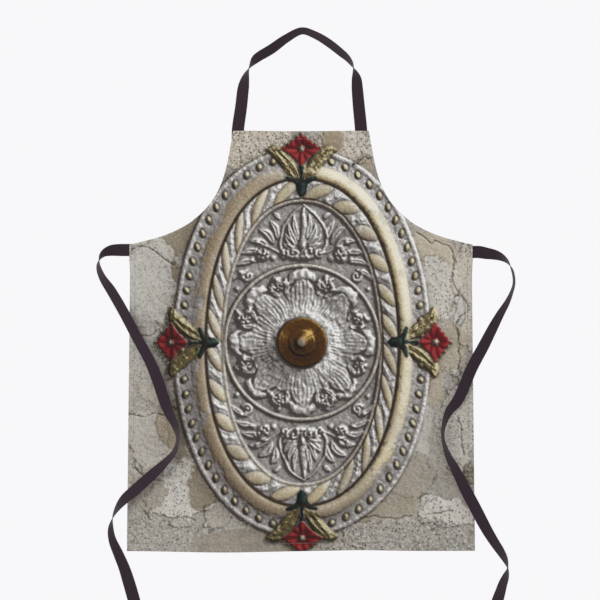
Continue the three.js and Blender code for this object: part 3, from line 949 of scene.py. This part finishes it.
def sweepHem(name, edge, width, inward):
    # a flat double layer behind the cloth, along an edge line; inward holds the unit vectors off the edge
    half, full = clothBack + 0.1 * mm, clothBack + 0.1 * mm + hem["layers"]
    middle, bulge = (half + full) / 2, hem["bulge"]
    profile = [(0, half), (-bulge * 0.8, half * 1.1), (-bulge, middle), (-bulge * 0.6, full * 0.96)]
    profile += [(0.4 * mm, full)]
    profile += [(width * k / 5, full) for k in range(1, 5)]
    profile += [(width - 0.2 * mm, full), (width, middle), (width - 0.2 * mm, half)]
    profile += [(width * k / 5, half) for k in range(4, 0, -1)]
    vertices, prints = [], []
    for across, offset in profile:
        at = edge + inward * across
        vertices.append(hang(at[:, 0], at[:, 1], offset))
        bleed = edge - inward * max(across, 0)
        prints.append(printed(bleed[:, 0], bleed[:, 1]))
    rings, sides = len(edge), len(profile)
    vertices = np.stack(vertices, axis=1).reshape(-1, 3)
    attributes = {key: np.stack([row[key] for row in prints], axis=1).reshape(-1, 3) for key in prints[0]}
    return fixNormals(makePiece(name, vertices, tubeFaces(rings, sides), attributes))


def fixNormals(piece):
    # turns every face outwards, by the sign of the closed mesh's volume
    mesh = piece.data
    mesh.calc_loop_triangles()
    co = np.array([v.co for v in mesh.vertices])
    tris = np.array([t.vertices for t in mesh.loop_triangles])
    volume = np.einsum("ij,ij->i", co[tris[:, 0]], np.cross(co[tris[:, 1]], co[tris[:, 2]])).sum()
    if volume < 0:
        mesh.flip_normals()
    return piece


def armholeEdge(side, inset, spacing):
    # stops along one armhole, between the top hem and the side hem, with the direction into the cloth
    line = evenStops(armhole, spacing)
    along = np.gradient(line, axis=0)
    along /= np.linalg.norm(along, axis=1)[:, None]
    inward = np.column_stack([along[:, 1], -along[:, 0]])
    spot = line + inward * inset
    keep = (spot[:, 1] < panelHigh.z - hem["clearOfTop"]) & (spot[:, 0] < bodyHalf - hem["clearOfSide"])
    flip = np.array([side, 1])
    return spot[keep] * flip, inward[keep] * flip


def straightEdge(start, end, inward, spacing):
    line = evenStops([start, end], spacing)
    return line, np.tile(np.array(inward, float), (len(line), 1))


def buildHems():
    widths, gap = hem["widths"], hem["gap"]
    top, bottom, spacing = panelHigh.z, panelLow.z, hem["spacing"]
    pieces = {}
    edge, inward = straightEdge((-bibHalf, top), (bibHalf, top), (0, -1), spacing)
    pieces["top_hem"] = sweepHem("topHem", edge, widths["top"], inward)
    edge, inward = straightEdge((-bodyHalf, bottom), (bodyHalf, bottom), (0, 1), spacing)
    pieces["bottom_hem"] = sweepHem("bottomHem", edge, widths["bottom"], inward)
    for word, side in (("left", -1), ("right", 1)):
        sideBottom, sideTop = bottom + widths["bottom"] + gap, waistTop - gap
        x = side * bodyHalf
        edge, inward = straightEdge((x, sideBottom), (x, sideTop), (-side, 0), spacing)
        pieces[word + "_side_hem"] = sweepHem(word + "SideHem", edge, widths["side"], inward)
        edge, inward = armholeEdge(side, 0, spacing)
        pieces[word + "_armhole_hem"] = sweepHem(word + "ArmholeHem", edge, widths["armhole"], inward)
    return pieces


hems = buildHems()
print("hems made:", len(hems))

thread = {
    "radius": 0.27 * mm,
    "length": 2.9 * mm,
    "pitch": 3.7 * mm,
    "sides": 6,
    "sink": 0.3 * mm,
    "plies": 2600,               # one over metres: plies of about 0.4 mm
    # each thread's colour, then the same colour darkened as painted shade between its plies
    "stoneGrey": ("#a9a196", "#7d766b"),
    "aubergine": ("#3a2b34", "#1f161c"),
}


def stitchMesh(name, rows, place):
    # single stitches along rows on something flat; place puts a flat point and its depth where it hangs
    vertices, faces = [], []
    spread = np.array([-1.0, -0.86, -0.4, 0.4, 0.86, 1.0])
    rise = np.array([-1.0, 0.1, 0.75, 0.75, 0.1, -1.0])
    thick = np.array([0.7, 0.95, 1.0, 1.0, 0.95, 0.7])
    sides, rings = thread["sides"], len(spread)
    angles = np.arange(sides) * math.tau / sides
    for line, offset in rows:
        out = 1 if offset > 0 else -1
        stops = evenStops(line, thread["pitch"])
        for a, b in zip(stops[:-1], stops[1:]):
            middle, along = (a + b) / 2, (b - a) / np.linalg.norm(b - a)
            across = np.array([-along[1], along[0]])
            spine = middle + spread[:, None] * along * thread["length"] / 2
            girth = thread["radius"] * thick[:, None]
            u = spine[:, 0, None] + across[0] * girth * np.cos(angles)
            v = spine[:, 1, None] + across[1] * girth * np.cos(angles)
            depth = (offset + out * rise * thread["sink"])[:, None] + girth * np.sin(angles)
            base = len(vertices)
            vertices.extend(zip(u.ravel(), v.ravel(), depth.ravel()))
            faces += tubeFaces(rings, sides, base)
    flat = np.array(vertices)
    return fixNormals(makePiece(name, place(*flat.T), faces))


def buildHemStitching():
    widths, inset = hem["widths"], hem["stitchInset"]
    front, back = -clothBack - 0.05 * mm, clothBack + 0.15 * mm + hem["layers"]
    top, bottom = panelHigh.z, panelLow.z
    lines = {}
    height, half = top - widths["top"] + inset, bibHalf - widths["armhole"] - 1 * mm
    lines["top_hem_stitching"] = [(-half, height), (half, height)]
    height, half = bottom + widths["bottom"] - inset, bodyHalf - 2 * mm
    lines["bottom_hem_stitching"] = [(-half, height), (half, height)]
    for word, side in (("left", -1), ("right", 1)):
        x = side * (bodyHalf - widths["side"] + inset)
        lines[word + "_side_stitching"] = [(x, bottom + 2 * mm), (x, waistTop - 2 * mm)]
        lines[word + "_armhole_stitching"] = armholeEdge(side, widths["armhole"] - 2.5 * mm, 5 * mm)[0]
    made = {}
    for node, line in lines.items():
        word = "".join(w.capitalize() if i else w for i, w in enumerate(node.split("_")))
        made[node] = stitchMesh(word, [(line, front), (line, back)], hang)
    return made


hemStitching = buildHemStitching()
print("hem stitching made:", sum(len(p.data.polygons) for p in hemStitching.values()), "faces")

tape = {
    "width": 25 * mm,
    "thickness": 1.1 * mm,
    "spacing": 4 * mm,
    "cup": 0.35 * mm,            # how far the middle of the tape stands off a flat line
    "foldRadius": 0.75 * mm,
    "foldLength": 12 * mm,
    "boxInset": 4 * mm,
    "tipRows": (9.6 * mm, 3 * mm),   # how far from the end the two rows of stitches lie
    "tailDepth": 2.5 * mm,       # the middle of a sewn tail, behind the middle of the cloth
}
# each route holds x, y, z in millimetres and the tape's turn about its own length in degrees
neckRoute = (
    (-129, 2.5, -234, 0), (-129, 2.5, -213, 0), (-128.6, 2.5, -195, 0), (-122, 2.5, -147, 10),
    (-118, 2, -112, 18), (-114, 1, -92, 45), (-109, 0, -76, 74), (-103, 0, -65, 97), (-92, 0, -51, 128),
    (-60, 0, -31, 135), (-29, 0, -9, 125), (2, 0, 6, 116), (28, 0, -2, 118), (54, 0, -17, 123),
    (80, 0, -37, 121), (96, 0, -51, 112), (105, 0, -64, 97), (110, 0, -76, 68), (113.5, 1, -92, 35),
    (115, 2, -112, 20), (118, 2.5, -147, 10), (122.6, 2.5, -195, 0), (123, 2.5, -213, 0), (123, 2.5, -234, 0),
)
leftRoute = (
    (-320.5, 2.5, -441, 0), (-337, 2.5, -441, 0), (-352.5, 2.5, -441, 0), (-362, 2.5, -441, 2),
    (-373, 2, -441, 14), (-387, 0, -442, 30), (-400, -2, -446.5, 56), (-409, -4, -455, 80),
    (-413, -7, -467, 106), (-411, -9, -481, 121), (-403, -11, -499, 131), (-386, -12, -524, 146),
    (-360, -11, -569, 151), (-335, -10, -617, 151), (-307, -9, -669, 155), (-291, -9, -708, 164),
    (-278, -11, -747, 160), (-267, -13, -776, 143), (-257, -15, -795, 131), (-250.5, -16, -823, 109),
    (-256, -16, -849, 113), (-270, -15, -867, 121), (-285, -14, -882, 134), (-308, -12, -903, 149),
    (-337, -11, -929, 152), (-359, -12, -948, 140), (-374, -13, -967, 116), (-383, -13, -985, 96),
    (-387, -12, -1006, 72), (-384, -10, -1030, 60), (-373, -8, -1057, 46), (-361, -6, -1086, 35),
    (-351, -5, -1117, 20), (-340, -4, -1156, 8), (-329, -4, -1200, 4),
)
rightRoute = (
    (320.5, 2.5, -445, 0), (337, 2.5, -445, 0), (352.5, 2.5, -445, 0), (363, 2.5, -445, -2),
    (377, 2, -447.5, -20), (396, 0, -451, -40), (411, -2, -457, -62), (422, -5, -466, -84),
    (429, -8, -479, -104), (433, -10, -496, -107), (433, -12, -511, -108), (428, -13, -528, -112),
    (419, -14, -548, -122), (406, -13, -570, -134), (391, -12, -598, -148), (372, -9, -636, -160),
    (349, -8, -679, -165), (319, -9, -747, -160), (302, -12, -768, -138), (293, -15, -788, -122),
    (289, -16, -806, -112), (288.5, -16, -825, -109), (293, -16, -843, -114), (300, -15, -862, -124),
    (311, -14, -882, -136), (324, -12, -908, -148), (338, -9, -935, -160), (352, -8, -961, -162),
    (366, -8, -988, -160), (379, -10, -1012, -152), (393, -11, -1035, -142), (407, -12, -1056, -132),
    (417, -12, -1074, -116), (421, -11, -1089, -94), (417, -10, -1105, -68), (411, -8, -1121, -53),
    (406, -6, -1138, -42), (400, -5, -1157, -28), (387, -4, -1200, -10),
)


def ribbonLine(route):
    # a smooth centripetal curve through the route, with the turn smoothed alongside, and the run to each stop
    points = np.array([stop[:3] for stop in route]) * mm
    turns = np.radians([stop[3] for stop in route])
    padded = np.vstack([2 * points[0] - points[1], points, 2 * points[-1] - points[-2]])
    paddedTurns = np.concatenate([turns[:1], turns, turns[-1:]])
    t = np.linspace(0, 1, 25)[:-1]
    line, turnLine = [], []
    for i in range(len(points) - 1):
        p0, p1, p2, p3 = padded[i:i + 4]
        d0, d1, d2 = (max(np.linalg.norm(b - a), 1e-9) ** 0.5 for a, b in ((p0, p1), (p1, p2), (p2, p3)))
        t1 = ((p1 - p0) / d0 - (p2 - p0) / (d0 + d1) + (p2 - p1) / d1) * d1
        t2 = ((p2 - p1) / d1 - (p3 - p1) / (d1 + d2) + (p3 - p2) / d2) * d1
        c2, c3 = -3 * p1 + 3 * p2 - 2 * t1 - t2, 2 * p1 - 2 * p2 + t1 + t2
        line.append(p1 + np.outer(t, t1) + np.outer(t ** 2, c2) + np.outer(t ** 3, c3))
        a0, a1, a2, a3 = paddedTurns[i:i + 4]
        v0, v1 = (a2 - a0) / 2, (a3 - a1) / 2
        turnLine.append(a1 + v0 * t + (-3 * a1 + 3 * a2 - 2 * v0 - v1) * t ** 2
                        + (2 * a1 - 2 * a2 + v0 + v1) * t ** 3)
    line = np.vstack(line + [points[-1:]])
    turnLine = np.concatenate(turnLine + [turns[-1:]])
    run = np.concatenate([[0], np.cumsum(np.linalg.norm(np.diff(line, axis=0), axis=1))])
    return line, turnLine, run


def ribbonFrame(route, stops):
    # centre, and the directions along, across and to the back, at distances along a route
    line, turnLine, run = ribbonLine(route)

    def centreAt(s):
        return np.column_stack([np.interp(s, run, line[:, k]) for k in range(3)])

    centre = centreAt(stops)
    along = centreAt(np.minimum(stops + 1 * mm, run[-1])) - centreAt(np.maximum(stops - 1 * mm, 0))
    along /= np.linalg.norm(along, axis=1)[:, None]
    inPlane = np.column_stack([along[:, 2], np.zeros(len(along)), -along[:, 0]])
    inPlane /= np.linalg.norm(inPlane, axis=1)[:, None]
    toFront = np.cross(along, inPlane)
    toFront /= np.linalg.norm(toFront, axis=1)[:, None]
    toFront[toFront[:, 1] > 0] *= -1
    turn = np.interp(stops, run, turnLine)[:, None]
    across = np.cos(turn) * inPlane + np.sin(turn) * toFront
    toBack = -np.cos(turn) * toFront + np.sin(turn) * inPlane
    return centre, along, across, toBack


def tapeSection():
    # half round selvedges, a little thicker than the flat between them
    half, thick = tape["width"] / 2, tape["thickness"] / 2
    flat = np.array([-0.93, -0.8, -0.55, -0.28, 0, 0.28, 0.55, 0.8, 0.93]) * half
    front = [(u, -thick * (1.12 if abs(u) > 0.9 * half else 1.0)) for u in flat]
    right = [(half - 0.25 * mm, -0.75 * thick), (half, 0), (half - 0.25 * mm, 0.75 * thick)]
    back = [(u, thick * (1.12 if abs(u) > 0.9 * half else 1.0)) for u in flat[::-1]]
    left = [(-u, -v) for u, v in right]
    return np.array(front + right + back + left)


def buildTape(name, route, folded=False):
    # one ribbon; the far end of a waist tie is folded to its back and comes up again
    total = ribbonLine(route)[2][-1]
    radius, fold = tape["foldRadius"], tape["foldLength"]
    end = total - radius if folded else total
    stops = list(np.linspace(0, end, round(end / tape["spacing"]) + 1))
    turns, backs, bends = list(stops), [0.0] * len(stops), [0.0] * len(stops)
    if folded:
        for angle in np.linspace(0, math.pi, 9)[1:]:
            turns.append(end + radius * math.sin(angle))
            backs.append(radius - radius * math.cos(angle))
            bends.append(angle)
        for s in np.linspace(end, end - fold, 5)[1:]:
            turns.append(s)
            backs.append(2 * radius)
            bends.append(math.pi)
    turns, backs, bends = np.array(turns), np.array(backs), np.array(bends)
    centre, along, across, toBack = ribbonFrame(route, turns)
    normal = np.cos(bends)[:, None] * toBack - np.sin(bends)[:, None] * along
    centre = centre + toBack * backs[:, None]
    length = np.concatenate([[0], np.cumsum(np.linalg.norm(np.diff(centre, axis=0), axis=1))])
    section = tapeSection()
    sides, rings = len(section), len(centre)
    ease = np.clip(np.minimum(length, total - length) / 0.05, 0, 1)
    vertices, places = [], []
    for i in range(rings):
        cup = tape["cup"] * ease[i] * math.sin(23 * length[i] + 1.7)
        for u, v in section:
            depth = v + cup * (1 - (u / (tape["width"] / 2)) ** 2)
            vertices.append(centre[i] + across[i] * u + normal[i] * depth)
            places.append((u / mm, length[i] / mm, 1 if v > 0 else -1))
    piece = makePiece(name, vertices, tubeFaces(rings, sides), {"tapePlace": places})
    return fixNormals(piece), float(length[-1])


neckTape, neckLength = buildTape("neckTape", neckRoute)
leftTie, leftLength = buildTape("leftTie", leftRoute, folded=True)
rightTie, rightLength = buildTape("rightTie", rightRoute, folded=True)
print("tapes made:", [round(length, 3) for length in (neckLength, leftLength, rightLength)], "m long")


def boxRows(node, inset, offsets):
    # a box with a cross in it, inside a sewn tail
    low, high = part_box(node)
    left, right = low.x + inset, high.x - inset
    bottom, top = low.z + inset, high.z - inset
    frameLine = [(left, bottom), (right, bottom), (right, top), (left, top), (left, bottom)]
    lines = [frameLine[i:i + 2] for i in range(4)]
    lines += [[(left, bottom), (right, top)], [(left, top), (right, bottom)]]
    return [(np.array(line), offset) for line in lines for offset in offsets]


def tipRows(route):
    # two rows across the folded end, on both of its faces
    total = ribbonLine(route)[2][-1]
    half = tape["width"] / 2 - 3 * mm
    back = 2 * tape["foldRadius"] + tape["thickness"] / 2
    rows = []
    for fromEnd in tape["tipRows"]:
        line = np.array([(-half, total - fromEnd), (half, total - fromEnd)])
        rows += [(line, -tape["thickness"] / 2 - 0.05 * mm), (line, back + 0.05 * mm)]

    def place(u, s, depth):
        centre, _, across, toBack = ribbonFrame(route, s)
        return centre + across * u[:, None] + toBack * depth[:, None]

    return rows, place


def buildTapeStitching():
    made = {}
    front, back = -clothBack - 0.05 * mm, tape["tailDepth"] + tape["thickness"] / 2 + 0.05 * mm
    for side in ("left", "right"):
        for part, tail in (("Neck", "_neck_tail"), ("Tie", "_tie_tail")):
            rows = boxRows(side + tail, tape["boxInset"], (front, back))
            node = side + tail.replace("tail", "box_stitch")
            made[node] = stitchMesh(side + part + "BoxStitch", rows, hang)
    for side, route in (("left", leftRoute), ("right", rightRoute)):
        rows, place = tipRows(route)
        made[side + "_tip_stitching"] = stitchMesh(side + "TipStitching", rows, place)
    return made


tapeStitching = buildTapeStitching()
print("tape stitching made:", sum(len(p.data.polygons) for p in tapeStitching.values()), "faces")


# dark, middle and light tone of everything that the picture shows as painted
inkTones = {
    "silver": ("#48413d", "#9d9893", "#fdfbf5"),
    "cream": ("#4c3b25", "#c6b488", "#fbf5de"),
    "tan": ("#3f3024", "#97866d", "#dccfb6"),
    "bronze": ("#140a04", "#5e3a10", "#dcb566"),
    "leaf": ("#20190f", "#6a5c3a", "#e6dab0"),
    "red": ("#27070a", "#70161a", "#a63d39"),
    "green": ("#040606", "#0e1815", "#3a5048"),
}
ink = {
    "wallCool": "#9e9c96",
    "wallWarm": "#998b74",
    "wallLight": "#f4f1e8",
    "hollow": "#2a1f16",
    "grain": 0.34,                   # one over millimetres: grains of about 3 mm
    "speckle": 0.21,                 # chips of about 5 mm
    "pits": 0.15,                    # about 7 mm apart
    "crazing": 0.11,                 # plates of about 9 mm
    "grainShare": 1.1,
}
twill = {
    "rib": 1.0,                      # millimetres; the real 0.5 mm ribs are too fine to show
    "bump": 0.10,
    "reverse": "#e9e8e5",
    "strikeThrough": 0.09,           # how much of the ink shows on the back
    "mottle": 0.02,                  # one over millimetres: clouds of about 50 mm
}
cottonTape = {
    "dye": "#3d2c37",
    # the dye darkened as painted shade in the hollows between the ribs
    "dyeDeep": "#281c25",
    "rib": 1.4,                      # millimetres between ribs of the herringbone
    "bump": 0.25,
}


def newMaterial(name, roughness, specular, sheen=0.0):
    material = bpy.data.materials.new(name)
    material.use_nodes = True
    shader = material.node_tree.nodes["Principled BSDF"]
    shader.inputs["Roughness"].default_value = roughness
    shader.inputs["Specular IOR Level"].default_value = specular
    shader.inputs["Sheen Weight"].default_value = sheen
    return material, material.node_tree, shader


def inkTone(tree, lower, upper, dark, middle, light):
    # a paint from its shadow to its highlight
    low = addNode(tree, "ShaderNodeMixRGB", lower, dark, middle)
    return addNode(tree, "ShaderNodeMixRGB", upper, low, light)


def inkPicture(tree):
    # the colour of the printed picture at each place, and that place in millimetres
    place = addNode(tree, "ShaderNodeAttribute", attribute_name="printPlace", out=1)
    shares = {}
    for sheet, names in inkSheets.items():
        vector = addNode(tree, "ShaderNodeAttribute", attribute_name=sheet, out=1)
        shares.update(zip(names, addNode(tree, "ShaderNodeSeparateXYZ", vector).node.outputs))
    grain = addNode(tree, "ShaderNodeTexNoise", place, None, ink["grain"], 4, 0.7)
    grain = addNode(tree, "ShaderNodeMath", grain, 0.5, operation="SUBTRACT")
    shade = addNode(tree, "ShaderNodeMath", grain, ink["grainShare"], shares["shade"],
                    operation="MULTIPLY_ADD")
    crazing = addNode(tree, "ShaderNodeTexVoronoi", place, None, ink["crazing"], feature="DISTANCE_TO_EDGE")
    crazing = addNode(tree, "ShaderNodeMapRange", crazing, 0.0, 0.07, -0.22, 0.0)
    shade = addNode(tree, "ShaderNodeMath", shade, crazing, operation="ADD")
    lower = addNode(tree, "ShaderNodeMapRange", shade, -0.85, 0.0, 0.0, 1.0)
    upper = addNode(tree, "ShaderNodeMapRange", shade, 0.0, 0.62, 0.0, 1.0)
    # the wall: cool to warm stone, as light as its patch, with dark pits and pale flecks where it is speckled
    stone = addNode(tree, "ShaderNodeMixRGB", shares["warmth"], linearColour(ink["wallCool"]),
                    linearColour(ink["wallWarm"]))
    light = addNode(tree, "ShaderNodeMapRange", shares["lightness"], 0.2, 0.8, 0.52, 1.8)
    stone = addNode(tree, "ShaderNodeMixRGB", 1.0, stone, light, blend_type="MULTIPLY")
    dots = addNode(tree, "ShaderNodeTexNoise", place, None, ink["speckle"], 2, 0.6)
    pits = addNode(tree, "ShaderNodeTexVoronoi", place, None, ink["pits"])
    pits = addNode(tree, "ShaderNodeMath", dots, 0.9, pits, operation="MULTIPLY_ADD")
    pits = addNode(tree, "ShaderNodeMapRange", pits, 0.62, 0.80, 0.95, 0.0)
    pits = addNode(tree, "ShaderNodeMath", pits, shares["speckle"], operation="MULTIPLY")
    flecks = addNode(tree, "ShaderNodeMapRange", dots, 0.46, 0.36, 0.0, 0.6)
    flecks = addNode(tree, "ShaderNodeMath", flecks, shares["speckle"], operation="MULTIPLY")
    dark = addNode(tree, "ShaderNodeMixRGB", 1.0, stone, (0.16, 0.14, 0.12, 1), blend_type="MULTIPLY")
    pale = addNode(tree, "ShaderNodeMixRGB", 0.6, stone, linearColour(ink["wallLight"]))
    colour = inkTone(tree, lower, upper, dark, stone, pale)
    colour = addNode(tree, "ShaderNodeMixRGB", pits, colour, dark)
    colour = addNode(tree, "ShaderNodeMixRGB", flecks, colour, pale)
    for name, tones in inkTones.items():
        paint = inkTone(tree, lower, upper, *(linearColour(tone) for tone in tones))
        colour = addNode(tree, "ShaderNodeMixRGB", shares[name], colour, paint)
    dirt = addNode(tree, "ShaderNodeMath", shares["dirt"], 0.85, operation="MULTIPLY", use_clamp=True)
    return addNode(tree, "ShaderNodeMixRGB", dirt, colour, linearColour(ink["hollow"])), place


def twillBump(tree, place, strength):
    # diagonal ribs across millimetre places
    x, y, _ = addNode(tree, "ShaderNodeSeparateXYZ", place).node.outputs
    diagonal = addNode(tree, "ShaderNodeMath", x, y, operation="ADD")
    ribs = addNode(tree, "ShaderNodeMath", diagonal, math.tau / (twill["rib"] * math.sqrt(2)),
                   operation="MULTIPLY")
    ribs = addNode(tree, "ShaderNodeMath", ribs, operation="SINE")
    bump = addNode(tree, "ShaderNodeBump", strength, 0.2 * mm)
    tree.links.new(ribs, bump.node.inputs["Height"])
    return bump


def makePrintedTwill():
    # polyester twill, dye-sublimation printed: the ink is in the fibre, so it is matt with a faint rib
    material, tree, shader = newMaterial("polyester twill, printed", 0.82, 0.3, 0.06)
    colour, place = inkPicture(tree)
    tree.links.new(colour, shader.inputs["Base Color"])
    tree.links.new(twillBump(tree, place, twill["bump"]), shader.inputs["Normal"])
    return material


def makeTwillReverse():
    # the same twill from behind: bleached white, with a ghost of the ink
    material, tree, shader = newMaterial("polyester twill, bleached reverse", 0.85, 0.3, 0.08)
    colour, place = inkPicture(tree)
    mottle = addNode(tree, "ShaderNodeTexNoise", place, None, twill["mottle"], 4, 0.6)
    mottle = addNode(tree, "ShaderNodeMapRange", mottle, 0.3, 0.7, 0.93, 1.0)
    white = linearColour(twill["reverse"])
    white = addNode(tree, "ShaderNodeMixRGB", 1.0, white, mottle, blend_type="MULTIPLY")
    colour = addNode(tree, "ShaderNodeMixRGB", twill["strikeThrough"], white, colour)
    tree.links.new(colour, shader.inputs["Base Color"])
    tree.links.new(twillBump(tree, place, twill["bump"] * 1.5), shader.inputs["Normal"])
    return material


def makeTapeTwill():
    # cotton tape, woven herringbone and dyed aubergine: fuzzy and matt, with painted shade between the ribs
    # that leaves the rib tops paler
    material, tree, shader = newMaterial("cotton tape, herringbone woven", 0.92, 0.25, 0.18)
    place = addNode(tree, "ShaderNodeAttribute", attribute_name="tapePlace", out=1)
    u, s, _ = addNode(tree, "ShaderNodeSeparateXYZ", place).node.outputs
    side = addNode(tree, "ShaderNodeMath", u, operation="ABSOLUTE")
    slope = addNode(tree, "ShaderNodeMath", side, 0.7, s, operation="MULTIPLY_ADD")
    ribs = addNode(tree, "ShaderNodeMath", slope, math.tau / cottonTape["rib"], operation="MULTIPLY")
    ribs = addNode(tree, "ShaderNodeMath", ribs, operation="SINE")
    fuzz = addNode(tree, "ShaderNodeTexNoise", place, None, 1.2, 4, 0.7)
    height = addNode(tree, "ShaderNodeMath", fuzz, 1.5, ribs, operation="MULTIPLY_ADD")
    # the colour follows the rib height: painted shade between the ribs, with a fuzzy noise in it
    share = addNode(tree, "ShaderNodeMapRange", height, -0.6, 2.0, 0.0, 1.0)
    colour = addNode(tree, "ShaderNodeMixRGB", share, linearColour(cottonTape["dyeDeep"]),
                     linearColour(cottonTape["dye"]))
    tree.links.new(colour, shader.inputs["Base Color"])
    bump = addNode(tree, "ShaderNodeBump", cottonTape["bump"], 0.2 * mm)
    tree.links.new(height, bump.node.inputs["Height"])
    tree.links.new(bump, shader.inputs["Normal"])
    return material


def makeThread(name, hexCode, plyShadeHex):
    # spun polyester sewing thread: a slight gloss, with painted shade between its plies, drawn as a fine
    # noise
    material, tree, shader = newMaterial(name, 0.55, 0.4, 0.1)
    place = addNode(tree, "ShaderNodeTexCoord", out=3)
    plies = addNode(tree, "ShaderNodeTexNoise", place, None, thread["plies"], 2, 0.5)
    share = addNode(tree, "ShaderNodeMapRange", plies, 0.35, 0.65, 0.0, 1.0)
    # a fine noise mixes in the painted shade between the plies
    colour = addNode(tree, "ShaderNodeMixRGB", share, linearColour(plyShadeHex), linearColour(hexCode))
    tree.links.new(colour, shader.inputs["Base Color"])
    return material


printedTwill = makePrintedTwill()
twillReverse = makeTwillReverse()
tapeTwill = makeTapeTwill()
hemThread = makeThread("polyester thread, spun, stone grey", *thread["stoneGrey"])
tapeThread = makeThread("polyester thread, spun, aubergine", *thread["aubergine"])
print("materials made")


def finishPieces():
    panelCloth.data.materials.append(printedTwill)
    panelCloth.data.materials.append(twillReverse)
    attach(panelCloth, "apron")
    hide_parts("panel")
    for node, piece in hems.items():
        piece.data.materials.append(printedTwill)
        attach(piece, "apron")
        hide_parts(node)
    tipBodies = {"left_tip_stitching": "left_waist_tie", "right_tip_stitching": "right_waist_tie"}
    stitching = ((hemStitching, hemThread, "pale_thread"), (tapeStitching, tapeThread, "dark_thread"))
    for pieces, material, slot in stitching:
        for node, piece in pieces.items():
            piece.data.materials.append(material)
            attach(piece, tipBodies.get(node, "apron"))
            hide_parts(node)
    for piece in (neckTape, leftTie, rightTie):
        piece.data.materials.append(tapeTwill)
    # each tape, its length, its two bodies, the joint it crosses and so many millimetres before and past it,
    # which are not used: its transform is baked in and its parts hidden
    for piece, length, first, second, joint, before, past, nodes in (
            (neckTape, neckLength, "neck_loop", "apron", "bib_fold", (0, 0, 7), (0, 0, -8),
             ("neck_strap", "left_neck_tail", "right_neck_tail")),
            (leftTie, leftLength, "apron", "left_waist_tie", "left_tie_swing", (0, 0, 0), (-9, 0, -3),
             ("left_tie", "left_tie_tail", "left_tie_tip")),
            (rightTie, rightLength, "apron", "right_waist_tie", "right_tie_swing", (0, 0, 0), (9, 0, -3),
             ("right_tie", "right_tie_tail", "right_tie_tip"))):
        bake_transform(piece)
        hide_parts(*nodes)


finishPieces()
